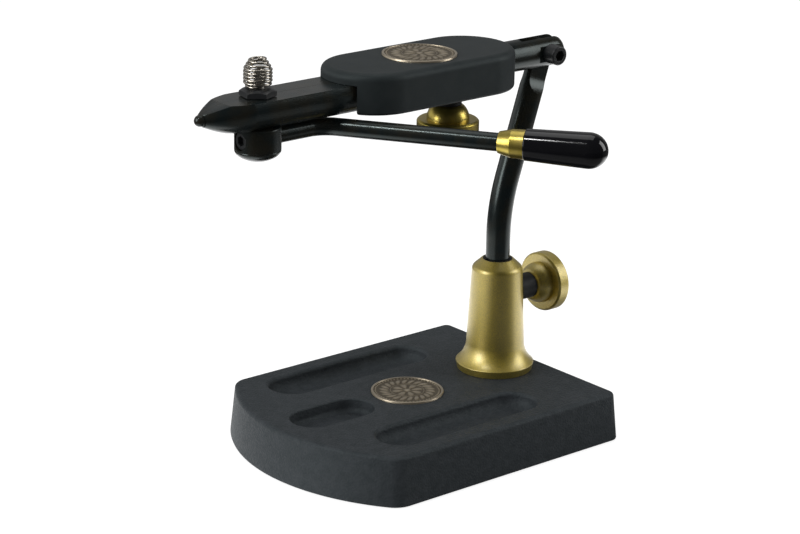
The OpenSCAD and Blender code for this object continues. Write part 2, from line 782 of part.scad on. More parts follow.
// Both jaws as one bar with a turned nose and a sloping flat on it, before they are parted
module jaw_bar() {
    back_off = nose_reach - nose_len;
    wide_r = bar_r + (bar_r - tip_r - 4 * nose_bow) * (nose_reach - nose_span) / nose_span;
    front = tip_x - tip_r - over;
    flat_slope = (jaw_up + tip_drop - tip_r) / nose_flat;
    intersection() {
        rod_x(bar_r, tip_x - tip_r, jaw_back);
        union() {
            translate([tip_x, 0, -tip_drop]) rotate([0, nose_tilt, 0]) {
                rotate([0, 90, 0]) rotate_extrude() polygon(concat([[0, 0]],
                    [for (i = [0:nose_steps]) [nose_r(i / nose_steps), nose_span * i / nose_steps]],
                    [[wide_r, nose_reach], [0, nose_reach]]));
                sphere(r = tip_r);
            }
            box(nose_x + back_off, jaw_back + over, -bar_r - over, bar_r + over, -bar_r - over, bar_r + over);
        }
        rotate([90, 0, 0]) linear_extrude(height = 2 * (bar_r + over), center = true)
            polygon([[front, -jaw_down], [jaw_back + over, -jaw_down], [jaw_back + over, jaw_up],
                [tip_x + nose_flat, jaw_up], [front, jaw_up - (tip_x + nose_flat - front) * flat_slope]]);
    }
}

module jaw(side) {
    y0 = seam / 2;
    color(steel_black) at_pivot() difference() {
        jaw_bar();
        box(tip_x - tip_r - over, jaw_back + over, side > 0 ? -bar_r - over : -y0,
            side > 0 ? y0 : bar_r + over, -bar_r - over, bar_r + over);
        // The shallow groove round the tip that steadies a hook
        translate([tip_x, 0, -tip_drop]) rotate([0, nose_tilt, 0]) translate([hook_step, 0, 0])
            rotate([0, 90, 0]) difference() {
                cylinder(h = hook_width, r = bar_r);
                bore(nose_r(hook_step / nose_span) - hook_groove, -over, hook_width + over);
            }
        translate([cam_x, 0, 0]) {
            bore(post_low_r + gap, -jaw_down - over, cam_low + loose);
            bore(post_up_r + gap, cam_high - loose, jaw_up + over);
            box(-cam_r - roomy, cam_r + roomy, -cam_half - cam_play, cam_half + cam_play,
                cam_low - gap, cam_high + gap);
        }
        translate([jaw_pivot_x, side * jaw_pivot_y, 0]) {
            bore(jaw_pivot_r + fit, -jaw_down - over, jaw_up + over);
            bore(jaw_pivot_head_r + loose, -jaw_down - over, -jaw_down + pivot_seat);
        }
        box(relief_x, jaw_back + over, -tail_relief, tail_relief, -bar_r - over, bar_r + over);
        translate([jaw_spring_x, 0, jaw_spring_z])
            rod_y(jaw_spring_r + roomy, -jaw_spring_half - roomy, jaw_spring_half + roomy);
    }
}

module jaw_near() {
    jaw(-1);
}

module jaw_far() {
    jaw(1);
}

// The two shoulder screws on which the jaws turn
module jaw_pivots() {
    color(steel) at_pivot() for (side = [-1, 1])
        translate([jaw_pivot_x, side * jaw_pivot_y, -jaw_down + jaw_pivot_head_h]) rotate([180, 0, 0])
            cap_screw(jaw_pivot_r, jaw_down - jaw_pivot_head_h + slot_roof + pivot_roof - gap,
                jaw_pivot_head_r, jaw_pivot_head_h - gap);
}

// The coil that pushes the jaws' tails apart, drawn as a sleeve because it is out of sight
module jaw_spring() {
    color(steel) at_pivot() translate([jaw_spring_x, 0, jaw_spring_z]) difference() {
        rod_y(jaw_spring_r, -jaw_spring_half, jaw_spring_half);
        rod_y(jaw_spring_r - jaw_spring_wire, -jaw_spring_half - over, jaw_spring_half + over);
    }
}

module cam_post() {
    color(steel) at_pivot() translate([cam_x, 0, 0]) {
        bore(post_low_r, post_low, cam_low + gap);
        intersection() {
            bore(cam_r, cam_low + gap, cam_high - gap);
            box(-cam_r, cam_r, -cam_half, cam_half, cam_low, cam_high);
        }
        bore(post_up_r, cam_high - gap, jaw_up + fit);
        pin(post_thread_r, cam_high, post_top, bevel);
    }
}

module cam_hub() {
    color(black) at_pivot() translate([cam_x, 0, 0]) difference() {
        rotate_extrude() polygon(concat(
            [[0, hub_low - hub_dome]],
            [for (i = [0:edge_steps]) let (a = dome_angle + (90 - dome_angle) * i / edge_steps)
                [0, hub_low - hub_dome] + dome_point(a, dome_angle, hub_flat_r, hub_r, hub_dome)],
            [[hub_r, hub_top - bevel], [hub_r - bevel, hub_top], [0, hub_top]]));
        bore(post_low_r + fit, post_low - gap, hub_top + over);
        translate([0, 0, lever_z]) rod_x(lever_r + fit, 0, hub_r + over);
        translate([0, 0, lever_z]) rod_x(lever_r + fit, -hub_r - over, 0);
    }
}

module cam_set_screw() {
    outer = hub_r - set_screw_sunk;
    color(steel_black) at_pivot() translate([cam_x, 0, lever_z]) rotate([0, -90, 0]) difference() {
        pin(lever_r, post_low_r + fit, outer, bevel);
        translate([0, 0, outer - set_socket_depth])
            cylinder(h = set_socket_depth + over, r = lever_r * socket_r_share, $fn = hex_sides);
    }
}

module at_lever_corner() {
    at_pivot() translate([cam_x + lever_corner, 0, lever_z]) rotate([0, 0, -lever_angle]) children();
}

module lever_rod() {
    tangent = lever_bend_r * tan(lever_angle / 2);
    rod_end = ferrule_at + ferrule_cone + ferrule_band + grip_hold;
    color(steel_black) {
        at_pivot() translate([cam_x, 0, lever_z])
            rod_x(lever_r, post_low_r + fit, lever_corner - tangent + bend_lap);
        at_pivot() translate([cam_x + lever_corner - tangent, -lever_bend_r, lever_z])
            rotate([0, 0, 90 - lever_angle]) rotate_extrude(angle = lever_angle)
                translate([lever_bend_r, 0]) circle(r = lever_r - bend_slim);
        at_lever_corner() rod_x(lever_r, tangent - bend_lap, rod_end);
    }
}

module lever_ferrule() {
    x1 = ferrule_at + ferrule_cone;
    x2 = x1 + ferrule_band;
    color(brass) at_lever_corner() difference() {
        rotate([0, 90, 0]) rotate_extrude() polygon([[0, ferrule_at], [ferrule_r0 - bevel / 2, ferrule_at],
            [ferrule_r0, ferrule_at + bevel / 2], [ferrule_r1, x1], [ferrule_r2, x2], [0, x2]]);
        rod_x(lever_r + fit, ferrule_at - over, x2 + over);
    }
}

module lever_grip() {
    x0 = ferrule_at + ferrule_cone + ferrule_band;
    x1 = x0 + grip_len;
    color(gloss_black) at_lever_corner() difference() {
        rotate([0, 90, 0]) rotate_extrude() polygon(concat(
            [[0, x0], [grip_r0 - bevel, x0], [grip_r0, x0 + bevel]],
            [for (i = [0:2 * edge_steps]) let (a = 90 * i / (2 * edge_steps))
                [grip_r1 * cos(a), x1 - grip_end_len * (1 - sin(a))]]));
        rod_x(lever_r + fit, x0 - over, x0 + grip_hold + gap);
    }
}

module nut_washer() {
    color(steel_black) at_pivot() translate([cam_x, 0, 0]) difference() {
        bore(washer_r, jaw_up + fit, jaw_up + fit + washer_t);
        bore(post_thread_r + fit, 0, nut_z + over);
    }
}

module cam_nut() {
    corner_r = nut_af / 2 / cos(180 / hex_sides);
    wall = nut_h * nut_cone_share;
    color(steel_black) at_pivot() translate([cam_x, 0, nut_z]) difference() {
        intersection() {
            rotate([0, 0, nut_turn]) cylinder(h = nut_h, r = corner_r, $fn = hex_sides);
            rotate_extrude() polygon([[0, 0], [corner_r + over, 0], [corner_r + over, wall],
                [nut_top_r, nut_h], [0, nut_h]]);
        }
        bore(post_thread_r + fit, -over, nut_h + over);
    }
}

// Outer radius of the material spring after t turns
function spring_r(t) =
    t < low_turns ? spring_low_r + (spring_mid_r - spring_low_r) * t / low_turns :
    t < spring_turns - top_turns ? spring_mid_r :
    spring_mid_r + (spring_top_r - spring_mid_r) * (t - spring_turns + top_turns) / top_turns;

function spring_angle(t) = spring_start - 360 * t;

// Centre of the wire after t turns
function spring_point(t) = let (r = spring_r(t) - wire_d / 2, a = spring_angle(t))
    [r * cos(a), r * sin(a), spring_pitch * t];

// Direction of the wire after t turns, seen from above
function spring_way(t) = [sin(spring_angle(t)), -cos(spring_angle(t)), 0];

// The wire's centre line, with a straight end as long as the wire is thick at each end
spring_path = concat(
    [spring_point(0) - wire_d * spring_way(0)],
    [for (i = [0:spring_rings]) spring_point(i / rings_per_turn)],
    [spring_point(spring_turns) + wire_d * spring_way(spring_turns)]);

// The angle at which each ring of the wire stands
spring_turn_angles = concat([spring_angle(0)],
    [for (i = [0:spring_rings]) spring_angle(i / rings_per_turn)], [spring_angle(spring_turns)]);

// The least gap between the wire's surface and itself, over points half a turn or more apart
spring_gap = min([for (i = [0:len(spring_path) - 1 - rings_per_turn / 2])
    for (j = [i + rings_per_turn / 2:len(spring_path) - 1]) norm(spring_path[i] - spring_path[j])]) - wire_d;
echo(str("Least gap of the material spring to itself: ", spring_gap, " mm"));

module material_spring() {
    rings = [for (i = [0:len(spring_path) - 1]) let (a = spring_turn_angles[i])
        [for (k = [0:tube_sides - 1]) let (b = -360 * k / tube_sides)
            spring_path[i] + wire_d / 2 * [cos(b) * cos(a), cos(b) * sin(a), sin(b)]]];
    color(steel) at_pivot() translate([cam_x, 0, spring_z]) loft(rings);
}

base_block();
base_pad();
base_medallion();
pedestal();
pedestal_screw();
stem_sleeve();
stem();
base_knob();
base_knob_screw();
base_knob_collar();
tilt_screw();
head_shaft();
shaft_bushes();
head_housing();
head_medallion();
head_knob();
head_knob_screw();
head_knob_collar();
brake_pad();
jaw_near();
jaw_far();
jaw_pivots();
jaw_spring();
cam_post();
cam_hub();
cam_set_screw();
lever_rod();
lever_ferrule();
lever_grip();
nut_washer();
cam_nut();
material_spring();
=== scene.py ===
# The fly tying vise as it looks: the finishes of its pieces, and the pieces that are finer than their solids.
# Lengths are in millimetres, and each mesh is scaled to metres when it is made.
import json
import math

import bmesh
import bpy
from mathutils import Matrix, Vector


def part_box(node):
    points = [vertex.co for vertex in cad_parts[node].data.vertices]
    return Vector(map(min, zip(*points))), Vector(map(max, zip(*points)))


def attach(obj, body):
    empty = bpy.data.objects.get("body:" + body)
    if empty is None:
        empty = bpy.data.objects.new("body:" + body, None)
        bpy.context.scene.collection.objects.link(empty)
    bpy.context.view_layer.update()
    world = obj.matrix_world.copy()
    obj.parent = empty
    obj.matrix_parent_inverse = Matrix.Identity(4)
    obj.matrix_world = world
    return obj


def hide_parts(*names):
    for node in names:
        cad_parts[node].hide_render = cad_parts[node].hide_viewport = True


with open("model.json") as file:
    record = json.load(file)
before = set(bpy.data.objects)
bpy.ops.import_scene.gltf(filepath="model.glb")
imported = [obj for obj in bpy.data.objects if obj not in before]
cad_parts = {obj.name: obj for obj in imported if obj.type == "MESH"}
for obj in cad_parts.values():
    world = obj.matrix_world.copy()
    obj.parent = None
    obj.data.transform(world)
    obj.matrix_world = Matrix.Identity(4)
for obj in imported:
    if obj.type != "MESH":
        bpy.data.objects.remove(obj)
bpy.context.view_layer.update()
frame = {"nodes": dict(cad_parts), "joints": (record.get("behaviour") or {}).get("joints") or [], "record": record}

MM = 0.001
JOINTS = {joint["name"]: joint for joint in frame["joints"]}
BODIES = {node: body for body, nodes in frame["record"]["behaviour"]["bodies"].items() for node in nodes}


def joint_at(name):
    """The point of a hinge, in millimetres."""
    return Vector(JOINTS[name]["pos_m"]) / MM


def box_mm(node):
    """The lowest and highest corners of a node, in millimetres."""
    low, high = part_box(node)
    return Vector(low) / MM, Vector(high) / MM


# Places that several pieces share
PIVOT = joint_at("head_tilt")
CAM = joint_at("lever_swing")
BASE_LOW, BASE_HIGH = box_mm("base_block")
HEAD_LOW, HEAD_HIGH = box_mm("head_housing")
TABLE_TOP = BASE_HIGH.z

# A bore is wider than its pin by this much all round, and a cutter stands out of its piece by this much
GAP = 0.05
OVER = 1


# Camera

CAMERA_AZIMUTH = math.radians(-40.363)
CAMERA_ELEVATION = math.radians(18.401)
CAMERA_ROLL = math.radians(1.085)
CAMERA_DISTANCE = 1015.767
CAMERA_LENS = 116.0
CAMERA_SENSOR = 36
CAMERA_REACH = 50000
TARGET_ASIDE = -38.321
TARGET_HEIGHT = 60.461


def make_camera():
    """The camera as it was fitted to the photograph."""
    az, el, roll = CAMERA_AZIMUTH, CAMERA_ELEVATION, CAMERA_ROLL
    level_right = Vector((math.cos(az), math.sin(az), 0))
    level_up = Vector((-math.sin(az) * math.sin(el), math.cos(az) * math.sin(el), math.cos(el)))
    forward = Vector((-math.sin(az) * math.cos(el), math.cos(az) * math.cos(el), -math.sin(el)))
    right = level_right * math.cos(roll) + level_up * math.sin(roll)
    up = level_up * math.cos(roll) - level_right * math.sin(roll)
    target = level_right * TARGET_ASIDE + Vector((0, 0, TARGET_HEIGHT))
    place = (target - forward * CAMERA_DISTANCE) * MM
    data = bpy.data.cameras.new("camera")
    data.lens = CAMERA_LENS
    data.sensor_width = CAMERA_SENSOR
    data.clip_end = CAMERA_REACH * MM
    camera = bpy.data.objects.new("camera", data)
    camera.matrix_world = Matrix.Translation(place) @ Matrix((right, up, -forward)).transposed().to_4x4()
    bpy.context.scene.collection.objects.link(camera)
    bpy.context.scene.camera = camera


make_camera()


# Shader helpers

def add_node(tree, kind, inputs=None, **settings):
    """Adds a node. Each of its inputs takes a value or the output of another node."""
    node = tree.nodes.new("ShaderNode" + kind)
    for key, value in settings.items():
        setattr(node, key, value)
    for key, value in (inputs or {}).items():
        if hasattr(value, "is_linked"):
            tree.links.new(value, node.inputs[key])
        else:
            node.inputs[key].default_value = value
    return node


def joined(tree, operation, one, other):
    """Two numbers, joined by an operation of the Math node."""
    return add_node(tree, "Math", {0: one, 1: other}, operation=operation).outputs["Value"]


def new_material(name, **sockets):
    """A material with even values on its shader's sockets, which are named with underscores for spaces."""
    material = bpy.data.materials.new(name)
    material.use_nodes = True
    shader = material.node_tree.nodes["Principled BSDF"]
    for key, value in sockets.items():
        shader.inputs[key.replace("_", " ")].default_value = value
    return material


class Nodes:
    """Short calls for the nodes of one material."""

    def __init__(self, material):
        self.tree = material.node_tree
        self.place = self.add("TexCoord").outputs["Object"]

    def add(self, kind, inputs=None, **settings):
        """Adds a node to the material."""
        return add_node(self.tree, kind, inputs, **settings)

    def stretched(self, scale):
        """The place, stretched by a scale for each axis."""
        return self.add("Mapping", {"Vector": self.place, "Scale": scale}).outputs["Vector"]

    def noise(self, size, detail=2.0, roughness=0.5, at=None):
        """Noise whose features are about size millimetres wide."""
        return self.add("TexNoise", {"Vector": at or self.place, "Scale": 1 / (size * MM), "Detail": detail,
                                     "Roughness": roughness}).outputs["Fac"]

    def cells(self, size):
        """Rounded cells about size millimetres wide."""
        return self.add("TexVoronoi", {"Vector": self.place, "Scale": 1 / (size * MM), "Smoothness": 0.6},
                        feature="SMOOTH_F1").outputs["Distance"]

    def span(self, value, low, high, from_low=0.0, from_high=1.0):
        """A value brought into the range from low to high."""
        return self.add("MapRange", {"Value": value, "From Min": from_low, "From Max": from_high,
                                     "To Min": low, "To Max": high}).outputs["Result"]

    def patches(self, size, detail=2.0, low=0.3, high=0.7):
        """Soft patches: noise whose values from low to high are drawn out to the range from 0 to 1."""
        return self.span(self.noise(size, detail), 0.0, 1.0, low, high)

    def blend(self, factor, one, other):
        """Two colours, mixed by a factor."""
        one, other = (color if hasattr(color, "is_linked") else (*color, 1) for color in (one, other))
        return self.add("Mix", {0: factor, 6: one, 7: other}, data_type="RGBA").outputs[2]

    def joined(self, operation, one, other):
        """Two numbers, joined by an operation of the Math node."""
        return joined(self.tree, operation, one, other)

    def bump(self, height, depth, strength):
        """A relief of about depth millimetres."""
        inputs = {"Height": height, "Distance": depth * MM, "Strength": strength}
        return self.add("Bump", inputs).outputs["Normal"]

    def finish(self, color, roughness, normal):
        """Links what varies over the surface to the shader."""
        shader = self.tree.nodes["Principled BSDF"]
        for key, value in (("Base Color", color), ("Roughness", roughness), ("Normal", normal)):
            self.tree.links.new(value, shader.inputs[key])


# Materials

# The mirrored light of a dull coat is weak, and a little cooler than the lamps
DULL_COAT = {"Specular_IOR_Level": 0.26, "Specular_Tint": (0.85, 1.0, 1.0, 1)}

# Scales that draw a texture out: drawn bars have streaks along them, and turned pieces have rings round them
STREAKS_ALONG_X = (0.04, 1, 1)
STREAKS_ALONG_Z = (1, 1, 0.04)
RINGS_ROUND_X = (1, 0.03, 0.03)
RINGS_ROUND_Z = (0.03, 0.03, 1)


def make_cast_black():
    """Powder coat with a fine leathery grain, a little paler where it is rubbed."""
    material = new_material("cast black", **DULL_COAT)
    n = Nodes(material)
    grain = n.joined("ADD", n.cells(0.75), n.joined("MULTIPLY", n.noise(0.35, 3.0), 0.5))
    color = n.blend(n.patches(3.0), (0.019, 0.022, 0.025), (0.027, 0.030, 0.034))
    n.finish(color, n.span(grain, 0.78, 0.6, 0.2, 0.9), n.bump(grain, 0.15, 1.0))
    return material


def make_black_head():
    """The same family of coat, smoother and finer."""
    material = new_material("black head", **DULL_COAT)
    n = Nodes(material)
    grain = n.noise(0.3, 4.0, 0.6)
    color = n.blend(n.patches(6.0), (0.012, 0.015, 0.016), (0.016, 0.019, 0.020))
    n.finish(color, n.span(grain, 0.6, 0.5), n.bump(grain, 0.02, 0.5))
    return material


def make_black_oxide(name, streaks):
    """Black oxide over steel, with a brown cast and faint streaks along the piece."""
    material = new_material(name, Specular_IOR_Level=0.36, Specular_Tint=(0.85, 1.0, 0.98, 1))
    n = Nodes(material)
    drawn = n.noise(0.5, 3.0, 0.6, n.stretched(streaks))
    color = n.blend(n.patches(7.0, low=0.38, high=0.66), (0.005, 0.0075, 0.008), (0.011, 0.010, 0.007))
    roughness = n.joined("ADD", n.span(drawn, 0.18, 0.3), n.span(n.noise(3.0, 4.0), -0.05, 0.06))
    n.finish(color, roughness, n.bump(drawn, 0.006, 0.4))
    return material


def make_black_screw():
    """Black oxide as it is on bought screws."""
    material = new_material("black screw")
    n = Nodes(material)
    n.finish(n.blend(n.noise(1.2, 3.0), (0.007, 0.008, 0.009), (0.013, 0.014, 0.015)),
             n.span(n.noise(0.5, 3.0), 0.3, 0.44), n.bump(n.noise(0.2), 0.006, 0.4))
    return material


def make_brass(name, rings):
    """Bead-blasted brass under lacquer, with the fine rings of the lathe and dark pits."""
    material = new_material(name, Metallic=1.0, Coat_Weight=1.0, Coat_Roughness=0.38, Coat_IOR=2.1)
    n = Nodes(material)
    blast = n.noise(0.16)
    cloud = n.patches(5.0, 3.0)
    pits = n.span(n.noise(0.4, 3.0, 0.7), 0.0, 1.0, 0.38, 0.6)
    color = n.blend(pits, (0.34, 0.255, 0.008), n.blend(cloud, (0.47, 0.355, 0.010), (0.54, 0.41, 0.020)))
    roughness = n.joined("ADD", n.span(cloud, 0.46, 0.54), n.span(blast, -0.06, 0.06))
    relief = n.joined("ADD", n.joined("MULTIPLY", blast, 0.6),
                      n.joined("MULTIPLY", n.noise(0.12, at=n.stretched(rings)), 0.4))
    n.finish(color, roughness, n.bump(relief, 0.035, 0.7))
    return material


def make_polished_brass(name, rings):
    """Brass as it comes from the lathe, brighter and smoother."""
    material = new_material(name, Metallic=1.0)
    n = Nodes(material)
    turned_marks = n.noise(0.12, at=n.stretched(rings))
    color = n.blend(n.patches(4.0, 3.0), (0.40, 0.315, 0.06), (0.49, 0.385, 0.105))
    n.finish(color, n.span(turned_marks, 0.28, 0.38), n.bump(turned_marks, 0.012, 0.5))
    return material


def make_bronze():
    """Antiqued bronze: dark in the hollows of the relief and rubbed bright on its heights."""
    material = new_material("antique bronze", Metallic=0.9)
    n = Nodes(material)
    relief = n.add("Attribute", attribute_name="relief").outputs["Fac"]
    worn = n.joined("ADD", n.span(relief, 0.0, 0.9, 0.1, 0.9), n.span(n.noise(1.2, 4.0), -0.18, 0.18))
    color = n.blend(n.span(worn, 0.0, 1.0), (0.13, 0.11, 0.08), (0.42, 0.36, 0.27))
    n.finish(color, n.span(worn, 0.6, 0.33), n.bump(n.noise(0.25, 3.0), 0.015, 0.5))
    return material


# A plain surface varies by this share about its colour and roughness, in patches so many times its grain
PLAIN_SHARE = 0.15
PLAIN_PATCH = 6


def make_plain(name, color, roughness, metallic, grain, depth, **sockets):
    """A plain moulded, bare or painted surface with a fine unevenness."""
    material = new_material(name, Metallic=metallic, **sockets)
    n = Nodes(material)
    shade = n.noise(grain * PLAIN_PATCH, 3.0)
    low, high = 1 - PLAIN_SHARE, 1 + PLAIN_SHARE
    n.finish(n.blend(shade, [c * low for c in color], [min(c * high, 1.0) for c in color]),
             n.span(shade, roughness * low, roughness * high), n.bump(n.noise(grain, 3.0), depth, 0.4))
    return material


CAST_BLACK = make_cast_black()
BLACK_HEAD = make_black_head()
OXIDE_ALONG_X = make_black_oxide("black oxide along x", STREAKS_ALONG_X)
OXIDE_ALONG_Z = make_black_oxide("black oxide along z", STREAKS_ALONG_Z)
BLACK_SCREW = make_black_screw()
BRASS_UPRIGHT = make_brass("brass turned upright", RINGS_ROUND_Z)
BRASS_ALONG_X = make_brass("brass turned along x", RINGS_ROUND_X)
POLISHED_UPRIGHT = make_polished_brass("polished brass turned upright", RINGS_ROUND_Z)
POLISHED_ALONG_X = make_polished_brass("polished brass turned along x", RINGS_ROUND_X)
BRONZE = make_bronze()
PAD_RUBBER = make_plain("pad rubber", (0.016, 0.016, 0.017), 0.8, 0.0, 0.4, 0.03)
BLACK_PLASTIC = make_plain("black plastic", (0.005, 0.006, 0.006), 0.55, 0.0, 0.25, 0.02,
                           Specular_IOR_Level=0.25)
GRIP_PLASTIC = make_plain("grip plastic", (0.004, 0.004, 0.005), 0.09, 0.0, 2.5, 0.01, Coat_Weight=0.2,
                          Coat_Roughness=0.04, Specular_IOR_Level=0.3)
BRIGHT_STEEL = make_plain("bright steel", (0.56, 0.53, 0.48), 0.28, 1.0, 0.3, 0.006)
SPRING_STEEL = make_plain("spring steel", (0.42, 0.39, 0.34), 0.26, 1.0, 0.25, 0.01)
BUSH_BRONZE = make_plain("bush bronze", (0.42, 0.30, 0.15), 0.4, 1.0, 0.2, 0.01)
NYLON = make_plain("nylon", (0.75, 0.72, 0.62), 0.5, 0.0, 0.3, 0.01)

NODE_LOOKS = {
    "base_block": CAST_BLACK, "base_pad": PAD_RUBBER, "base_medallion": BRONZE,
    "pedestal": BRASS_UPRIGHT, "pedestal_screw": BLACK_SCREW, "stem_sleeve": BLACK_PLASTIC,
    "stem": OXIDE_ALONG_Z, "base_knob": BRASS_ALONG_X, "base_knob_screw": BLACK_SCREW,
    "base_knob_collar": BLACK_PLASTIC, "tilt_screw": BLACK_SCREW, "head_shaft": OXIDE_ALONG_X,
    "shaft_bushes": BUSH_BRONZE, "head_housing": BLACK_HEAD, "head_medallion": BRONZE,
    "head_knob": POLISHED_UPRIGHT, "head_knob_screw": BLACK_SCREW, "head_knob_collar": BLACK_PLASTIC,
    "brake_pad": NYLON, "jaw_near": OXIDE_ALONG_X, "jaw_far": OXIDE_ALONG_X,
    "jaw_pivots": BRIGHT_STEEL, "jaw_spring": BRIGHT_STEEL, "cam_post": BRIGHT_STEEL,
    "cam_hub": OXIDE_ALONG_Z, "cam_set_screw": BLACK_SCREW, "lever_rod": OXIDE_ALONG_X,
    "lever_ferrule": POLISHED_ALONG_X, "lever_grip": GRIP_PLASTIC, "nut_washer": BLACK_SCREW,
    "cam_nut": BLACK_SCREW, "material_spring": SPRING_STEEL}

for node, look in NODE_LOOKS.items():
    mesh = frame["nodes"][node].data
    if not mesh.materials:
        mesh.materials.append(look)
    for material_slot in frame["nodes"][node].material_slots:
        material_slot.material = look


# Mesh helpers

# Edges sharper than SOFT_ANGLE are rounded, and edges sharper than SHARP_ANGLE stay sharp in the shading
SOFT_ANGLE = 30
SOFT_SEGMENTS = 2
SHARP_ANGLE = 35
# How far large faces outweigh small ones in the normals between them
FACE_WEIGHT = 100
# A node's mesh is made whole: points this near are one point, and faces this near in degrees are one face
WELD = 0.0005
FLAT_ANGLE = 0.6
TURNED_WELD = 0.0001
# No corner's arc takes up more of a side than this share, and a side shorter than SHORTEST has no corner
CORNER_SHARE = 0.49
SHORTEST = 1e-6
CORNER_STEPS = 5
DOME_STEPS = 14


def new_piece(name, bm, place=None):
    """An object made of a bmesh in millimetres, moved by place and scaled to metres."""
    if place is not None:
        bmesh.ops.transform(bm, matrix=place, verts=bm.verts)
    bmesh.ops.scale(bm, vec=(MM, MM, MM), verts=bm.verts)
    bmesh.ops.recalc_face_normals(bm, faces=bm.faces)
    mesh = bpy.data.meshes.new(name)
    bm.to_mesh(mesh)
    bm.free()
    piece = bpy.data.objects.new(name, mesh)
    bpy.context.scene.collection.objects.link(piece)
    return piece


def settle(piece):
    """Applies the piece's modifiers."""
    graph = bpy.context.evaluated_depsgraph_get()
    mesh = bpy.data.meshes.new_from_object(piece.evaluated_get(graph))
    piece.modifiers.clear()
    piece.data = mesh
    return piece


def carve(piece, cutters):
    """Cuts other objects out of a piece, and removes them."""
    for cutter in cutters:
        cut = piece.modifiers.new("cut", "BOOLEAN")
        cut.operation = "DIFFERENCE"
        cut.solver = "EXACT"
        cut.object = cutter
    bpy.context.view_layer.update()
    settle(piece)
    for cutter in cutters:
        bpy.data.objects.remove(cutter)
    return piece


def soften(piece, width):
    """Rounds the sharp edges by a small bevel."""
    bevel = piece.modifiers.new("bevel", "BEVEL")
    bevel.width = width * MM
    bevel.segments = SOFT_SEGMENTS
    bevel.limit_method = "ANGLE"
    bevel.angle_limit = math.radians(SOFT_ANGLE)
    bevel.use_clamp_overlap = True
    return settle(piece)


def smooth(piece, angle=SHARP_ANGLE):
    """Smooth shading that breaks at sharp edges and stays flat on flat faces."""
    bm = bmesh.new()
    bm.from_mesh(piece.data)
    for face in bm.faces:
        face.smooth = True
    for edge in bm.edges:
        edge.smooth = edge.calc_face_angle(0) < math.radians(angle)
    bm.to_mesh(piece.data)
    bm.free()
    weighted = piece.modifiers.new("normals", "WEIGHTED_NORMAL")
    weighted.keep_sharp = True
    weighted.weight = FACE_WEIGHT
    return settle(piece)


def dress(piece, node):
    """The piece takes the place, body, slot and look of a node."""
    piece.data.materials.clear()
    piece.data.materials.append(NODE_LOOKS[node])
    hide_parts(node)
    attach(piece, BODIES[node])
    return piece


def arc(center, radius, start, end, steps):
    """Points on an arc, with the angles in degrees."""
    turns = [math.radians(start + (end - start) * i / steps) for i in range(steps + 1)]
    return [(center[0] + radius * math.cos(a), center[1] + radius * math.sin(a)) for a in turns]


def rounded(points, steps=CORNER_STEPS):
    """An outline of (x, y, radius): each corner is turned into an arc of its radius."""
    out = []
    count = len(points)
    for i, (x, y, radius) in enumerate(points):
        here = Vector((x, y))
        before = Vector(points[i - 1][:2]) - here
        after = Vector(points[(i + 1) % count][:2]) - here
        if not radius or before.length < SHORTEST or after.length < SHORTEST:
            out.append((x, y))
            continue
        half = before.angle(after) / 2
        reach = min(radius / math.tan(half), before.length * CORNER_SHARE, after.length * CORNER_SHARE)
        one = here + before.normalized() * reach
        two = here + after.normalized() * reach
        for k in range(steps + 1):
            t = k / steps
            out.append(tuple(one * (1 - t) ** 2 + here * 2 * t * (1 - t) + two * t ** 2))
    return out


def domed(start, crown_r, wall_r, wall_z, height, count):
    """Points of (radius, height) over a dome that starts at an angle beside its crown.

    The crown lies at wall_z less the height, and the wall is reached after DOME_STEPS points.
    """
    points = []
    for i in range(1, count + 1):
        a = start + (math.pi / 2 - start) * i / DOME_STEPS
        share = (math.sin(a) - math.sin(start)) / (1 - math.sin(start))
        points.append((crown_r + (wall_r - crown_r) * share, wall_z - height * math.cos(a) / math.cos(start)))
    return points


def lofted(name, rings, place=None):
    """A solid skinned over rings of points that have as many points each."""
    bm = bmesh.new()
    loops = [[bm.verts.new(point) for point in ring] for ring in rings]
    count = len(loops[0])
    for low, high in zip(loops, loops[1:]):
        for i in range(count):
            j = (i + 1) % count
            bm.faces.new((low[i], low[j], high[j], high[i]))
    bm.faces.new(list(reversed(loops[0])))
    bm.faces.new(loops[-1])
    return new_piece(name, bm, place)


def turned(name, profile, place=None, sides=128):
    """A closed profile of (radius, height) turned about the Z axis. Points at radius 0 close it there."""
    bm = bmesh.new()
    ring = [bm.verts.new((r, 0, z)) for r, z in profile]
    followers = ring[1:] + (ring[:1] if profile[0][0] > 0 else [])
    edges = [bm.edges.new(pair) for pair in zip(ring, followers)]
    bmesh.ops.spin(bm, geom=ring + edges, cent=(0, 0, 0), axis=(0, 0, 1), angle=2 * math.pi, steps=sides)
    bmesh.ops.remove_doubles(bm, verts=bm.verts, dist=TURNED_WELD)
    return new_piece(name, bm, place)


def swept(name, centers, radii, sides):
    """A tube along a route, with a radius for each of its points."""
    centers = [Vector(c) for c in centers]
    ways = []
    for i in range(len(centers)):
        ways.append((centers[min(i + 1, len(centers) - 1)] - centers[max(i - 1, 0)]).normalized())
    side = ways[0].orthogonal().normalized()
    rings = []
    for center, way, radius in zip(centers, ways, radii):
        side = (side - way * side.dot(way)).normalized()
        other = way.cross(side)
        rings.append([center + (side * math.cos(a) + other * math.sin(a)) * radius
                      for a in (2 * math.pi * k / sides for k in range(sides))])
    return lofted(name, rings)


def rod(name, radius, start, end, sides=96):
    """A straight round bar."""
    return swept(name, [start, end], [radius, radius], sides)


def block(name, low, high):
    """A box between two corners."""
    (x0, y0, z0), (x1, y1, z1) = low, high
    return lofted(name, [[(x0, y0, z), (x1, y0, z), (x1, y1, z), (x0, y1, z)] for z in (z0, z1)])


def obround(x, y, half_span, radius, z, steps=24):
    """A ring with two straight sides along X and round ends."""
    ring = arc((x + half_span, y), radius, -90, 90, steps) + arc((x - half_span, y), radius, 90, 270, steps)
    return [(px, py, z) for px, py in ring]


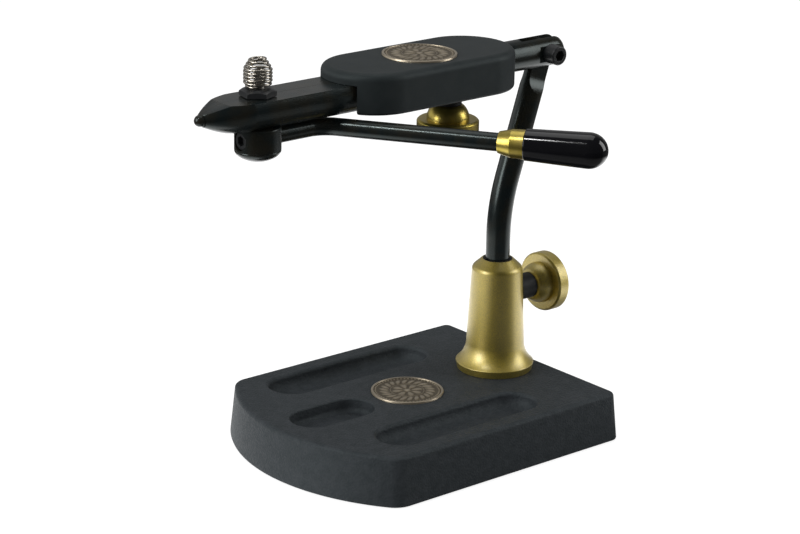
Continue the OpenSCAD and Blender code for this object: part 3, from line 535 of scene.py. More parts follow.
def softened(name, node, width):
    """A clean copy of a node's solid whose edges are broken."""
    bm = bmesh.new()
    bm.from_mesh(frame["nodes"][node].data)
    bmesh.ops.scale(bm, vec=(1 / MM, 1 / MM, 1 / MM), verts=bm.verts)
    bmesh.ops.remove_doubles(bm, verts=bm.verts, dist=WELD)
    bmesh.ops.dissolve_limit(bm, angle_limit=math.radians(FLAT_ANGLE), verts=bm.verts, edges=bm.edges)
    return dress(smooth(soften(new_piece(name, bm), width)), node)


# Base

BASE_DRAFT = 1.95
BASE_TOP_EDGE = 1.8
BASE_TOP_STEPS = 10
# The foot's broken edge, with a ring of points at this share of it
BASE_FOOT_EDGE = 0.5
BASE_FOOT_SHARE = 0.3
FRONT_CORNER = 7.2
REAR_CORNER = 3
LEAST_CORNER = 1
REAR_STEPS = 12
FRONT_STEPS = 14
# How far the front bows out between its corners
BOW = 18.6
BOW_STEPS = 72
# Each hollow's middle, half of its straight sides, its half width, its depth, and how far its floor and lip
# are rounded
TROUGH = {"x": -48, "y": 32.8, "half": 28, "r": 9.3, "depth": 6, "floor": 4.2, "lip": 1.6}
TRAY = {"x": -82.5, "y": 0, "half": 9, "r": 9.1, "depth": 5.4, "floor": 2, "lip": 0.6}
DISH_FLOOR_STEPS = 12
DISH_LIP_STEPS = 10
MEDAL_X = -45.4
MEDAL_R = 14.1
MEDAL_T = 1.9
MEDAL_PROUD = 0.7
MEDAL_SIDES = 128
PAD_MARGIN = 5
PAD_DEPTH = 1.5
FOOT_RECESS_R = 6.9
FOOT_RECESS_DEPTH = 9.7


def base_ring(grow, z):
    """The base's outline seen from above, grown on every side."""
    foot_share = 1 - BASE_LOW.z / TABLE_TOP
    half = BASE_HIGH.y - BASE_DRAFT * foot_share
    rear = BASE_HIGH.x - BASE_DRAFT * foot_share
    front = BASE_LOW.x + BASE_DRAFT * foot_share
    bow_r = (half * half + BOW * BOW) / (2 * BOW)
    bow_x = front + bow_r
    rear_r, front_r = max(REAR_CORNER + grow, LEAST_CORNER), max(FRONT_CORNER + grow, LEAST_CORNER)
    rear_y, front_y = half + grow - rear_r, half + grow - front_r
    front_x = bow_x - math.sqrt((bow_r + grow - front_r) ** 2 - front_y ** 2)
    front_a = math.degrees(math.atan2(front_y, front_x - bow_x))
    points = (arc((rear + grow - rear_r, -rear_y), rear_r, -90, 0, REAR_STEPS)
              + arc((rear + grow - rear_r, rear_y), rear_r, 0, 90, REAR_STEPS)
              + arc((front_x, front_y), front_r, 90, front_a, FRONT_STEPS)
              + arc((bow_x, 0), bow_r + grow, front_a, 360 - front_a, BOW_STEPS)[1:-1]
              + arc((front_x, -front_y), front_r, 360 - front_a, 270, FRONT_STEPS))
    return [(x, y, z) for x, y in points]


def wall_grow(z):
    """How far the drafted wall stands out at a height."""
    return BASE_DRAFT * (1 - z / TABLE_TOP)


def dish(sizes, side=1):
    """A cutter for a trough or tray."""
    lip, floor, r, depth = sizes["lip"], sizes["floor"], sizes["r"], sizes["depth"]
    profile = (arc((r - floor, floor - depth), floor, -90, 0, DISH_FLOOR_STEPS)
               + arc((r + lip, -lip), lip, 180, 90, DISH_LIP_STEPS) + [(r + lip, 2 * OVER)])
    return lofted("dish", [obround(sizes["x"], side * sizes["y"], sizes["half"], radius, TABLE_TOP + z)
                           for radius, z in profile])


def medal_pocket(x, top):
    """A cutter for a medallion's seat."""
    return rod("pocket", MEDAL_R + GAP, (x, 0, top + MEDAL_PROUD - MEDAL_T), (x, 0, top + OVER), MEDAL_SIDES)


def make_base():
    """The casting, with its troughs, tray and the recesses for the medallion, the pad and the foot screw."""
    top = wall_grow(TABLE_TOP - BASE_TOP_EDGE)
    foot = wall_grow(BASE_LOW.z)
    foot_step = BASE_FOOT_EDGE * BASE_FOOT_SHARE
    rings = [base_ring(foot - BASE_FOOT_EDGE, BASE_LOW.z),
             base_ring(foot - foot_step, BASE_LOW.z + foot_step),
             base_ring(foot, BASE_LOW.z + BASE_FOOT_EDGE)]
    for i in range(BASE_TOP_STEPS + 1):
        a = math.pi / 2 * i / BASE_TOP_STEPS
        inset, drop = BASE_TOP_EDGE * (1 - math.cos(a)), BASE_TOP_EDGE * (1 - math.sin(a))
        rings.append(base_ring(top - inset, TABLE_TOP - drop))
    piece = lofted("base_casting", rings)
    cutters = [dish(TROUGH, 1), dish(TROUGH, -1), dish(TRAY), medal_pocket(MEDAL_X, TABLE_TOP),
               lofted("recess", [base_ring(BASE_DRAFT - PAD_MARGIN, z) for z in (-OVER, PAD_DEPTH)]),
               rod("screw_recess", FOOT_RECESS_R, (0, 0, -OVER), (0, 0, FOOT_RECESS_DEPTH))]
    return dress(smooth(carve(piece, cutters)), "base_block")


make_base()


# Medallions: a plain rosette in a ring of leaves and beads. Heights are shares of the relief, and the
# places and sizes of leaves, petals, ring and boss are shares of the medallion's radius

RELIEF = 0.35
RIM_W = 0.9
EDGE_DROP = 0.16
EDGE_W = 0.18
WALL_SHARE = 0.4
# The field has this many rings of points out to the rim, and the rim has these, by how far in they lie
FIELD_RINGS = 68
FIELD_STEP = MEDAL_R / 74
RIM_RINGS = (RIM_W + 0.12, RIM_W - 0.02, 0.5, EDGE_W, 0.05, 0)
RELIEF_SIDES = 288
RELIEF_SHARP = 60
BEADS = 56
BEAD_INSET = 0.75
BEAD_HALF = 0.5
BEAD_HEIGHT = 0.8
LEAVES = {"count": 22, "at": 0.64, "half": 0.145, "lean": 0.32, "height": 0.9, "vein": 0.06,
          "vein_height": 0.72}
LEAF_WIDTH = 0.40
PETALS = {"count": 8, "at": 0.27, "half": 0.17, "height": 0.85, "vein": 0.05, "vein_height": 0.7}
PETAL_WIDTH = 0.44
PETAL_FLARE = 0.55
RING_AT = 0.465
RING_HALF = 0.012
RING_HEIGHT = 0.5
BOSS = 0.10


def hill(u, v):
    """A rounded hill over an oval where u and v run from -1 to 1."""
    inside = 1 - u * u - v * v
    return math.sqrt(inside) if inside > 0 else 0.0


def sector(angle, count):
    """Where an angle lies in its sector, from -0.5 to 0.5."""
    turn = angle / (2 * math.pi) * count
    return turn - math.floor(turn) - 0.5


def leaf_height(sizes, aside, width, along):
    """The height of a leaf with a vein down its middle."""
    low = sizes["vein_height"]
    vein = low + (1 - low) * min(abs(aside) / sizes["vein"], 1)
    return sizes["height"] * hill(aside / width, along) * vein


def medal_relief(r, angle):
    """Height of the medallion's relief above its field, as a share of the whole relief."""
    share = r / MEDAL_R
    if r > MEDAL_R - RIM_W:
        return 1.0
    bead_r = MEDAL_R - RIM_W - BEAD_INSET
    bead_aside = sector(angle, BEADS) * 2 * math.pi * bead_r / BEADS
    leaf_along = (share - LEAVES["at"]) / LEAVES["half"]
    leaf = sector(angle, LEAVES["count"]) + leaf_along * LEAVES["lean"]
    leaf -= round(leaf)
    petal_along = (share - PETALS["at"]) / PETALS["half"]
    petal = sector(angle, PETALS["count"])
    return max(BEAD_HEIGHT * hill(bead_aside / BEAD_HALF, (r - bead_r) / BEAD_HALF),
               leaf_height(LEAVES, leaf, LEAF_WIDTH, leaf_along),
               leaf_height(PETALS, petal, PETAL_WIDTH * (PETAL_FLARE + share), petal_along),
               hill(share / BOSS, 0),
               RING_HEIGHT if abs(share - RING_AT) < RING_HALF else 0.0)


def make_medallion(name, node):
    """A disc whose top carries the relief. The relief is kept at its points for the bronze to read."""
    low, high = box_mm(node)
    center = (low + high) / 2
    radii = [FIELD_STEP * i for i in range(1, FIELD_RINGS + 1)]
    radii += [MEDAL_R - inset for inset in RIM_RINGS]
    bm = bmesh.new()
    shares = []

    def add(r, angle, z, share):
        shares.append(share)
        return bm.verts.new((center.x + r * math.cos(angle), center.y + r * math.sin(angle), z))

    hub = add(0, 0, high.z, 1.0)
    angles = [2 * math.pi * k / RELIEF_SIDES for k in range(RELIEF_SIDES)]
    loops = []
    for r in sorted(radii):
        drop = EDGE_DROP * max(0.0, (r - (MEDAL_R - EDGE_W)) / EDGE_W) ** 2
        loop = []
        for angle in angles:
            share = medal_relief(r, angle)
            loop.append(add(r, angle, high.z - RELIEF * (1 - share) - drop, share))
        loops.append(loop)
    loops.append([add(MEDAL_R, angle, low.z, WALL_SHARE) for angle in angles])
    for k in range(RELIEF_SIDES):
        j = (k + 1) % RELIEF_SIDES
        bm.faces.new((hub, loops[0][k], loops[0][j]))
        for inner, outer in zip(loops, loops[1:]):
            bm.faces.new((inner[k], outer[k], outer[j], inner[j]))
    bm.faces.new(loops[-1])
    piece = new_piece(name, bm)
    relief = piece.data.attributes.new("relief", "FLOAT", "POINT")
    relief.data.foreach_set("value", shares)
    for polygon in piece.data.polygons:
        polygon.use_smooth = True
    piece.data.set_sharp_from_angle(angle=math.radians(RELIEF_SHARP))
    return dress(piece, node)


make_medallion("base_disc", "base_medallion")
make_medallion("head_disc", "head_medallion")


# Pedestal

PEDESTAL_FOOT_R = 14.8
PEDESTAL_RING_R = 15.5
PEDESTAL_LOW_R = 11.45
PEDESTAL_TOP_R = 9.95
PEDESTAL_RIM_R = 6.2
PEDESTAL_BORE = 5.7125
PEDESTAL_BAND = 3
PEDESTAL_FLARE = 8.6
FLARE_STEPS = 22
PEDESTAL_SHOULDER = 3.4
# How far its edges are rounded, from the foot up
FOOT_ROUND = 0.3
RING_ROUND = 0.35
SHOULDER_ROUND = 2.6
RIM_ROUND = 0.5
BORE_ROUND = 0.25
ROUND_STEPS = 8
PEDESTAL_SIDES = 160
PEDESTAL_SHARP = 40
LOCK_Z = joint_at("base_lock_turn").z
# The lock's bore and the flat spot that its collar meets, cut from the axis out
LOCK_BORE_R = 3.25
SPOT_R = 5.5
SPOT_REACH = 20


def make_pedestal():
    """The turned post: a banded foot that flares, a tapered body, a shoulder and the stem's bore."""
    low, high = box_mm("pedestal")
    bottom, top = low.z, high.z
    dr = PEDESTAL_RING_R - PEDESTAL_LOW_R
    flare_r = (dr * dr + PEDESTAL_FLARE ** 2) / (2 * dr)
    flare_a = math.degrees(math.asin(PEDESTAL_FLARE / flare_r))
    flare_z = bottom + PEDESTAL_BAND + PEDESTAL_FLARE
    flare = arc((PEDESTAL_LOW_R + flare_r, flare_z), flare_r, 180 + flare_a, 180, FLARE_STEPS)
    ring = rounded([(PEDESTAL_BORE, bottom, 0), (PEDESTAL_FOOT_R, bottom, FOOT_ROUND),
                    (PEDESTAL_RING_R, bottom + PEDESTAL_BAND, RING_ROUND), (*flare[1], 0)])[:-1]
    crown = rounded([(PEDESTAL_LOW_R, flare_z, 0),
                     (PEDESTAL_TOP_R, top - PEDESTAL_SHOULDER, SHOULDER_ROUND),
                     (PEDESTAL_RIM_R, top, RIM_ROUND), (PEDESTAL_BORE, top, BORE_ROUND),
                     (PEDESTAL_BORE, bottom, 0)], ROUND_STEPS)[:-1]
    piece = turned("pedestal_post", ring + flare[1:-1] + crown, sides=PEDESTAL_SIDES)
    seat = box_mm("base_knob_collar")[0].x
    bore = rod("lock_bore", LOCK_BORE_R, (0, 0, LOCK_Z), (SPOT_REACH, 0, LOCK_Z))
    spot = rod("lock_spot", SPOT_R, (seat, 0, LOCK_Z), (SPOT_REACH, 0, LOCK_Z))
    return dress(smooth(carve(piece, [spot, bore]), PEDESTAL_SHARP), "pedestal")


make_pedestal()


# Lock knobs

KNOB_R = 11.9
KNOB_T = 5.6
KNOB_EDGE = 0.7
KNOB_HUB_LEN = 5.6
KNOB_HUB_R = 8.2
KNOB_HUB_START = math.radians(35)
KNOB_BACK_ROUND = 0.3
KNOB_RIM_ROUND = 0.5
KNOB_SIDES = 144
KNOB_SHARP = 40
NECK_R = 5.5
NECK_EDGE = 0.25
SCREW_R = 3.175
COLLAR_R = 5.1
COLLAR_ROUND = 0.3
COLLAR_SIDES = 96
BASE_COLLAR = 7.8
HEAD_COLLAR = 6.2
# A fine groove in the knob's face, with its outer wall, floor and inner wall
FACE_GROOVE_RADII = (8.9, 8.7, 8.4, 8.2)
FACE_GROOVE_DEPTH = 0.16


def make_knob(name, node, collar, place):
    """A disc with a domed hub, which starts where the collar ends."""
    disc = collar + KNOB_HUB_LEN
    face = disc + KNOB_T
    neck = [(SCREW_R, collar), (NECK_R - NECK_EDGE, collar), (NECK_R, collar + NECK_EDGE)]
    hub = domed(KNOB_HUB_START, NECK_R, KNOB_HUB_R, disc, KNOB_HUB_LEN, DOME_STEPS)
    rim = rounded([(KNOB_HUB_R, disc, 0), (KNOB_R - KNOB_EDGE, disc, KNOB_BACK_ROUND),
                   (KNOB_R, disc + KNOB_EDGE, KNOB_RIM_ROUND), (KNOB_R, face - KNOB_EDGE, KNOB_RIM_ROUND),
                   (KNOB_R - KNOB_EDGE, face, KNOB_RIM_ROUND), (SCREW_R, face, 0)])
    floor = face - FACE_GROOVE_DEPTH
    groove = list(zip(FACE_GROOVE_RADII, (face, floor, floor, face)))
    inner = [(0, face), (0, disc), (SCREW_R, disc)]
    piece = turned(name, neck + hub + rim[1:-1] + groove + inner, place, KNOB_SIDES)
    return dress(smooth(piece, KNOB_SHARP), node)


def make_collar(name, node, length, place):
    """A hard black collar with softly broken edges."""
    bore = SCREW_R + GAP
    outline = rounded([(bore, GAP, 0), (COLLAR_R, GAP, COLLAR_ROUND),
                       (COLLAR_R, length - GAP, COLLAR_ROUND), (bore, length - GAP, 0)])
    return dress(smooth(turned(name, outline, place, COLLAR_SIDES)), node)


BASE_LOCK = (Matrix.Translation((box_mm("base_knob_collar")[0].x - GAP, 0, LOCK_Z))
             @ Matrix.Rotation(math.pi / 2, 4, "Y"))
HEAD_LOCK = (Matrix.Translation((joint_at("head_lock_turn").x, 0, box_mm("head_knob_collar")[1].z + GAP))
             @ Matrix.Rotation(math.pi, 4, "X"))
make_knob("base_thumb_knob", "base_knob", BASE_COLLAR, BASE_LOCK)
make_knob("head_thumb_knob", "head_knob", HEAD_COLLAR, HEAD_LOCK)
make_collar("base_knob_ring", "base_knob_collar", BASE_COLLAR, BASE_LOCK)
make_collar("head_knob_ring", "head_knob_collar", HEAD_COLLAR, HEAD_LOCK)


# Stem

STEM_R = 4.7625
STEM_BEND_R = 75
STEM_BEND_STEPS = 24
STEM_LEAN = math.radians(18.2)
STEM_NECK = 50.6
# The lower end's broken edge: how high each ring stands, and how far it is drawn in
STEM_END = ((0, 0.4), (0.12, 0.12), (0.4, 0))
STEM_SIDES = 96
STEM_SOFT = 0.15
TONGUE_HALF = 2
TONGUE_LEN = 9.6
TONGUE_STEPS = 24
TONGUE_END_STEP = 6
TILT_SCREW_R = 2.5
TILT_HOLE_REACH = 9
TILT_HOLE_SIDES = 64


def make_stem():
    """A rod that bends back above its straight foot and is flattened on both sides at its round top end."""
    low = box_mm("stem")[0].z
    bend_z = PIVOT.z - STEM_NECK * math.cos(STEM_LEAN) - STEM_BEND_R * math.sin(STEM_LEAN)
    way = Vector((math.sin(STEM_LEAN), 0, math.cos(STEM_LEAN)))
    route = [Vector((0, 0, low + rise)) for rise, inset in STEM_END] + [Vector((0, 0, bend_z))]
    radii = [STEM_R - inset for rise, inset in STEM_END]
    for i in range(1, STEM_BEND_STEPS + 1):
        a = STEM_LEAN * i / STEM_BEND_STEPS
        route.append(Vector((STEM_BEND_R * (1 - math.cos(a)), 0, bend_z + STEM_BEND_R * math.sin(a))))
    route.append(PIVOT + way * (STEM_R + OVER))
    radii += [STEM_R] * (len(route) - len(radii))
    piece = swept("stem_rod", route, radii, STEM_SIDES)
    at_tongue = Matrix.Translation(PIVOT) @ Matrix.Rotation(STEM_LEAN, 4, "Y")
    reach = STEM_R + 2 * OVER
    run_out = 2 * STEM_R
    outer = TONGUE_HALF + run_out
    flat = ([(-TONGUE_LEN, outer)] + arc((-TONGUE_LEN, outer), run_out, 180, 270, TONGUE_STEPS)
            + [(reach, TONGUE_HALF), (reach, outer)])
    cutters = [lofted("flat", [[(x, side * y, z) for z, y in flat] for x in (-reach, reach)], at_tongue)
               for side in (-1, 1)]
    across = Vector((0, TILT_HOLE_REACH, 0))
    cutters.append(rod("hole", TILT_SCREW_R + GAP, PIVOT - across, PIVOT + across, TILT_HOLE_SIDES))
    top = [(math.cos(math.radians(a)) * STEM_R, math.sin(math.radians(a)) * STEM_R)
           for a in range(0, 181, TONGUE_END_STEP)]
    end = top + [(-reach, 0), (-reach, reach), (reach, reach), (reach, 0)]
    cutters.append(lofted("end", [[(x, y, z) for x, z in end] for y in (-reach, reach)], at_tongue))
    return dress(smooth(soften(carve(piece, cutters), STEM_SOFT)), "stem")


make_stem()


# Head

HEAD_MID = (HEAD_HIGH.x + HEAD_LOW.x) / 2
HEAD_SPAN = HEAD_HIGH.x - HEAD_LOW.x - 2 * HEAD_HIGH.y
TOP_EDGE = 2.8
TOP_EDGE_STEPS = 12
LOW_EDGE = 1.2
LOW_EDGE_STEPS = 8
HEAD_END_STEPS = 48
SLOT_HALF = 10.6
SLOT_LEN = 32.5
SLOT_ROOF = PIVOT.z + 3.2
SLOT_WALL = 2
JOURNAL_BORE = 5.35
SHAFT_BORE = 6.3
SHAFT_SINK = 1.8
HEAD_LOCK_BORE_R = 3.225
HEAD_LOCK_BORE_SIDES = 64
HEAD_SOFT = 0.2


def make_head():
    """The obround housing, with the jaws' slot, the bores of shaft and lock, and the medallion's seat."""
    half, bottom, top = HEAD_HIGH.y, HEAD_LOW.z, HEAD_HIGH.z
    profile = (arc((half - LOW_EDGE, bottom + LOW_EDGE), LOW_EDGE, -90, 0, LOW_EDGE_STEPS)
               + arc((half - TOP_EDGE, top - TOP_EDGE), TOP_EDGE, 0, 90, TOP_EDGE_STEPS))
    piece = lofted("head_casting", [obround(HEAD_MID, 0, HEAD_SPAN / 2, r, z, HEAD_END_STEPS)
                                    for r, z in profile])
    front, back = HEAD_LOW.x, HEAD_HIGH.x
    slot_back = front + SLOT_LEN
    lock_x = joint_at("head_lock_turn").x
    end = (back + OVER, 0, PIVOT.z)
    under = bottom - OVER
    cutters = [block("slot", (front - OVER, -SLOT_HALF, under), (slot_back, SLOT_HALF, SLOT_ROOF)),
               rod("journal_bore", JOURNAL_BORE, (slot_back + SLOT_WALL, 0, PIVOT.z), end),
               rod("shaft_bore", SHAFT_BORE, (back - SHAFT_SINK, 0, PIVOT.z), end),
               rod("lock_bore", HEAD_LOCK_BORE_R, (lock_x, 0, under), (lock_x, 0, PIVOT.z),
                   HEAD_LOCK_BORE_SIDES),
               medal_pocket(HEAD_MID, top)]
    return dress(smooth(soften(carve(piece, cutters), HEAD_SOFT)), "head_housing")


make_head()


# Shaft, jaws and small screws keep their solids' shapes, with broken edges

for piece_name, solid, edge_width in (
        ("shaft_bar", "head_shaft", 0.18), ("near_jaw_bar", "jaw_near", 0.26),
        ("far_jaw_bar", "jaw_far", 0.26), ("tilt_bolt", "tilt_screw", 0.15),
        ("set_screw", "cam_set_screw", 0.08), ("spring_nut", "cam_nut", 0.14)):
    softened(piece_name, solid, edge_width)


# Hub under the jaws

CAM_HUB_R = 8.5
CAM_HUB_FLAT = 2.6
CAM_HUB_DOME = 4.1
CAM_HUB_START = math.radians(40)
CAM_HUB_ROUND = 0.35
# A faint groove where the dome meets the wall: how far in and how high each of its points lies
CAM_HUB_GROOVE = ((0.06, -0.1), (0.14, 0.05), (0, 0.2))
LEVER_Z = PIVOT.z - 12.4
LEVER_R = 3.35
HOLE_REACH = 10


def make_hub():
    """The round hub: domed below, with holes for the lever in its back and for the set screw in its front."""
    low, high = box_mm("cam_hub")
    wall_z = low.z + CAM_HUB_DOME
    dome = domed(CAM_HUB_START, CAM_HUB_FLAT, CAM_HUB_R, wall_z, CAM_HUB_DOME, DOME_STEPS - 1)
    groove = [(CAM_HUB_R - inset, wall_z + rise) for inset, rise in CAM_HUB_GROOVE]
    top = rounded([(*groove[-1], 0), (CAM_HUB_R, high.z, CAM_HUB_ROUND), (0, high.z, 0)])[1:]
    profile = [(0, low.z), (CAM_HUB_FLAT, low.z)] + dome + groove + top
    piece = turned("hub_body", profile, Matrix.Translation((CAM.x, 0, 0)))
    middle = (CAM.x, 0, LEVER_Z)
    cutters = [rod("lever_hole", LEVER_R + GAP, middle, (CAM.x + HOLE_REACH, 0, LEVER_Z)),
               rod("screw_hole", LEVER_R + GAP, (CAM.x - HOLE_REACH, 0, LEVER_Z), middle)]
    return dress(smooth(carve(piece, cutters)), "cam_hub")


make_hub()


# Lever

CAM_POST_R = 3.25
LEVER_CORNER = 28.9
LEVER_BEND_R = 11
LEVER_BEND_STEPS = 28
LEVER_SIDES = 64
LEVER_ANGLE = math.radians(56.2)
FERRULE_AT = 66.6
FERRULE_CONE = 4.8
FERRULE_BAND = 5
FERRULE_RADII = (4, 5.2, 5.35)
FERRULE_ROUNDS = (0.2, 0.08, 0.1)
FERRULE_SIDES = 96
FERRULE_SHARP = 60
GRIP_AT = FERRULE_AT + FERRULE_CONE + FERRULE_BAND
GRIP_LEN = 30
GRIP_RADII = (5.8, 6.6)
GRIP_ROUND = 0.5
GRIP_SHARP = 50
GRIP_HOLD = 14
GRIP_END = 7
GRIP_END_STEPS = 20
LEVER_PLACE = (Matrix.Translation((CAM.x + LEVER_CORNER, 0, LEVER_Z)) @ Matrix.Rotation(-LEVER_ANGLE, 4, "Z")
               @ Matrix.Rotation(math.pi / 2, 4, "Y"))


def make_lever_rod():
    """A rod that leaves the hub along X and bends toward the near side."""
    bend_x = CAM.x + LEVER_CORNER - LEVER_BEND_R * math.tan(LEVER_ANGLE / 2)
    route = [Vector((CAM.x + CAM_POST_R, 0, LEVER_Z)), Vector((bend_x, 0, LEVER_Z))]
    center = Vector((bend_x, -LEVER_BEND_R, LEVER_Z))
    for i in range(1, LEVER_BEND_STEPS + 1):
        a = LEVER_ANGLE * i / LEVER_BEND_STEPS
        route.append(center + Vector((math.sin(a), math.cos(a), 0)) * LEVER_BEND_R)
    way = Vector((math.cos(LEVER_ANGLE), -math.sin(LEVER_ANGLE), 0))
    route.append(Vector((CAM.x + LEVER_CORNER, 0, LEVER_Z)) + way * (GRIP_AT + GRIP_HOLD))
    return dress(smooth(swept("lever_bar", route, [LEVER_R] * len(route), LEVER_SIDES)), "lever_rod")


def make_ferrule():
    """A ring with a cone before a band."""
    bore = LEVER_R + GAP
    corners = zip(FERRULE_RADII, (FERRULE_AT, FERRULE_AT + FERRULE_CONE, GRIP_AT), FERRULE_ROUNDS)
    profile = rounded([(bore, FERRULE_AT, 0), *corners, (bore, GRIP_AT, 0)])
    piece = turned("ferrule_ring", profile, LEVER_PLACE, FERRULE_SIDES)
    return dress(smooth(piece, FERRULE_SHARP), "lever_ferrule")


def make_grip():
    """A grip that widens toward its round end, with a blind hole for the rod."""
    tip = GRIP_AT + GRIP_LEN
    bore = LEVER_R + GAP
    r0, r1 = GRIP_RADII
    start = rounded([(bore, GRIP_AT, 0), (r0, GRIP_AT, GRIP_ROUND), (r1, tip - GRIP_END, 0)])[:-1]
    end = []
    for i in range(GRIP_END_STEPS):
        a = math.pi / 2 * i / GRIP_END_STEPS
        end.append((r1 * math.cos(a), tip - GRIP_END * (1 - math.sin(a))))
    hole_end = GRIP_AT + GRIP_HOLD + 2 * GAP
    hole = [(0, tip), (0, hole_end), (bore, hole_end)]
    return dress(smooth(turned("grip_body", start + end + hole, LEVER_PLACE), GRIP_SHARP), "lever_grip")


make_lever_rod()
make_ferrule()
make_grip()


# Material spring: a left-handed coil that swells and draws in, with its ends cut square

WIRE = 0.98
WIRE_END = 0.8232
WIRE_SIDES = 14
WIRE_SHARP = 50
PITCH = 1.28
TURNS = 8
TURN_STEPS = 40
START_ANGLE = 229
LOW_R = 4.4
MID_R = 5.3
TOP_R = 3.0
LOW_TURNS = 1
TOP_TURNS = 3


def coil_radius(t):
    """The coil's outer radius after so many turns."""
    if t < LOW_TURNS:
        return LOW_R + (MID_R - LOW_R) * t / LOW_TURNS
    if t < TURNS - TOP_TURNS:
        return MID_R
    return MID_R + (TOP_R - MID_R) * (t - TURNS + TOP_TURNS) / TOP_TURNS


def make_spring():
    """The coil, built up from the nut."""
    low = box_mm("material_spring")[0].z + WIRE / 2
    route = []
    for i in range(TURNS * TURN_STEPS + 1):
        t = i / TURN_STEPS
        r = coil_radius(t) - WIRE / 2
        a = math.radians(START_ANGLE - 360 * t)
        route.append((CAM.x + r * math.cos(a), r * math.sin(a), low + PITCH * t))
    radii = [WIRE / 2] * len(route)
    radii[0] = radii[-1] = WIRE_END / 2
    return dress(smooth(swept("coil_wire", route, radii, WIRE_SIDES), WIRE_SHARP), "material_spring")


make_spring()


# Floor, world and lights. Sides are angles to the right of the way from the vise to the camera.
# Polished pieces mirror a room of their own, and the camera sees white

ROOM_BRIGHT = 0.65
# The backdrop is brightest to the left of straight behind
BACKDROP_SIDE = math.radians(215)
BACKDROP_COSINES = (-0.15, 0.85)
BACKDROP_RANGE = (0.05, 0.42)
# A white card stands to the left, a little behind the vise
CARD_SIDE = math.radians(-105)
CARD_COSINES = (0.8, 0.97)
CARD_BRIGHT = 0.8
# The floor that polished pieces mirror is a painted reflection: for glossy rays it glows, whatever the lamps do,
# as a bright ring round the stem's axis, dimmer on the side where the camera stands and dark further out
RING_INNER = (70, 115)
RING_OUTER = (200, 330)
RING_BRIGHT = 1.9
RING_DIM_SHARE = 0.13
RING_DARK_SHARE = 0.05
DIM_SIDE = math.radians(22)
DIM_COSINES = (0.45, 0.75)
# The floor that the camera sees glows a little less than white, and lamps and shadow make up the rest
FLOOR_SIZE = 4000
FLOOR_SHADE = 0.3
FLOOR_ROUGHNESS = 0.9
FLOOR_GLOW = 0.8
# Each lamp's side and elevation in degrees, its distance, its width and height, and its watts
LAMPS = {
    "lamp_left": (-62, 20, 1100, (450, 700), 7.7),
    "lamp_right": (96, 22, 1200, (500, 900), 6),
    "lamp_small": (-43, 55, 1200, (120, 120), 3),
    "lamp_above": (170, 75, 1000, (700, 700), 2)}
LAMP_AIM = Vector((-50, 0, 90))


def side_way(side):
    """The level direction at a side."""
    return math.sin(CAMERA_AZIMUTH + side), -math.cos(CAMERA_AZIMUTH + side), 0


def along(tree, vector, side):
    """A vector's part along the level direction at a side."""
    node = add_node(tree, "VectorMath", {0: vector, 1: side_way(side)}, operation="DOT_PRODUCT")
    return node.outputs["Value"]


def faded(tree, value, ends, results):
    """A smooth passage from the first result to the second while a value goes between the ends."""
    inputs = {"Value": value, "From Min": ends[0], "From Max": ends[1],
              "To Min": results[0], "To Max": results[1]}
    return add_node(tree, "MapRange", inputs, interpolation_type="SMOOTHSTEP").outputs["Result"]


def shown_to(tree, rays, shown, others):
    """One shader for the rays named and another for the rest."""
    return add_node(tree, "MixShader", {"Fac": rays, 1: others, 2: shown}).outputs["Shader"]


def make_world():
    """White for the camera, the studio's sides for polished pieces, and even light for the rest."""
    world = bpy.data.worlds.new("studio")
    bpy.context.scene.world = world
    world.use_nodes = True
    tree = world.node_tree
    tree.nodes.clear()
    rays = add_node(tree, "LightPath").outputs
    way = add_node(tree, "TexCoord").outputs["Generated"]
    backdrop = faded(tree, along(tree, way, BACKDROP_SIDE), BACKDROP_COSINES, BACKDROP_RANGE)
    card = faded(tree, along(tree, way, CARD_SIDE), CARD_COSINES, (0, CARD_BRIGHT))
    mirrored = add_node(tree, "Background", {"Strength": joined(tree, "ADD", backdrop, card)}).outputs[0]
    room = add_node(tree, "Background", {"Strength": ROOM_BRIGHT}).outputs[0]
    white = add_node(tree, "Background", {"Color": (1, 1, 1, 1), "Strength": 1.0}).outputs[0]
    shiny = joined(tree, "MAXIMUM", rays["Is Glossy Ray"], rays["Is Transmission Ray"])
    light = shown_to(tree, shiny, mirrored, room)
    add_node(tree, "OutputWorld", {"Surface": shown_to(tree, rays["Is Camera Ray"], white, light)})


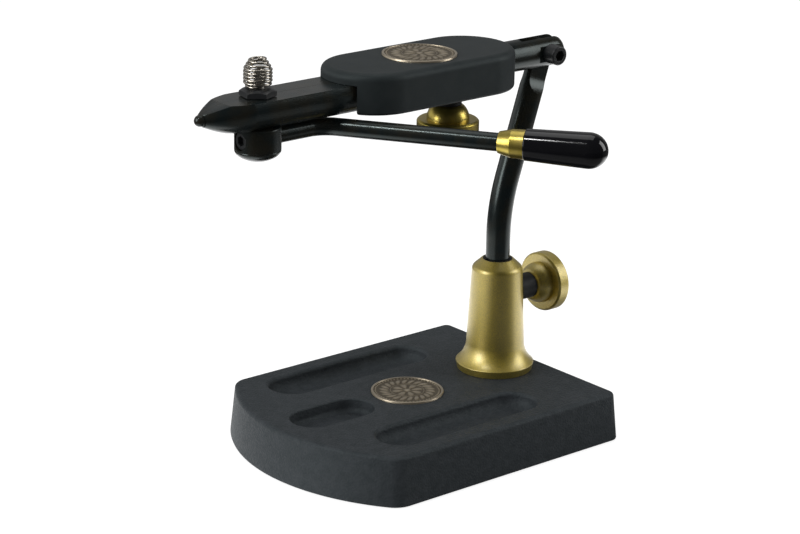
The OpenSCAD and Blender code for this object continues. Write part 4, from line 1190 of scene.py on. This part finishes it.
def painted_floor_reflection(tree):
    """The floor's glow by place, seen only by glossy rays: a painted reflection on the polished pieces."""
    place = add_node(tree, "NewGeometry").outputs["Position"]
    out = add_node(tree, "VectorMath", {0: place}, operation="LENGTH").outputs["Value"]
    way = add_node(tree, "VectorMath", {0: place}, operation="NORMALIZE").outputs["Vector"]
    inner = faded(tree, out, [r * MM for r in RING_INNER], (RING_DIM_SHARE, 1))
    outer = faded(tree, out, [r * MM for r in RING_OUTER], (1, RING_DARK_SHARE))
    side = faded(tree, along(tree, way, DIM_SIDE), DIM_COSINES, (RING_BRIGHT, RING_BRIGHT * RING_DIM_SHARE))
    bright = joined(tree, "MULTIPLY", joined(tree, "MULTIPLY", inner, outer), side)
    return add_node(tree, "Emission", {"Strength": bright}).outputs[0]


def make_floor():
    """A pale floor that keeps the shadow."""
    bm = bmesh.new()
    bmesh.ops.create_grid(bm, x_segments=1, y_segments=1, size=FLOOR_SIZE)
    floor = new_piece("floor", bm)
    material = new_material("floor", Base_Color=(*[FLOOR_SHADE] * 3, 1), Roughness=FLOOR_ROUGHNESS,
                            Specular_IOR_Level=0.0)
    tree = material.node_tree
    rays = add_node(tree, "LightPath").outputs
    glow = add_node(tree, "Emission", {"Color": (*[FLOOR_GLOW] * 3, 1), "Strength": rays["Is Camera Ray"]})
    lit = add_node(tree, "AddShader", {0: tree.nodes["Principled BSDF"].outputs[0], 1: glow.outputs[0]})
    # Glossy rays see the floor's painted reflection, a glow, in place of its lit shading
    shown = shown_to(tree, rays["Is Glossy Ray"], painted_floor_reflection(tree), lit.outputs[0])
    tree.links.new(shown, tree.nodes["Material Output"].inputs["Surface"])
    floor.data.materials.append(material)


def make_lamp(name, side, elevation, distance, size, power):
    """A soft lamp that looks at the vise."""
    el = math.radians(elevation)
    level = Vector(side_way(math.radians(side)))
    way = level * math.cos(el) + Vector((0, 0, math.sin(el)))
    data = bpy.data.lights.new(name, "AREA")
    data.shape = "RECTANGLE"
    data.size, data.size_y = (s * MM for s in size)
    data.energy = power
    lamp = bpy.data.objects.new(name, data)
    lamp.matrix_world = (Matrix.Translation((LAMP_AIM + way * distance) * MM)
                         @ way.to_track_quat("Z", "Y").to_matrix().to_4x4())
    bpy.context.scene.collection.objects.link(lamp)


make_world()
make_floor()
for lamp_name, lamp_settings in LAMPS.items():
    make_lamp(lamp_name, *lamp_settings)
bpy.context.scene.view_settings.view_transform = "Standard"
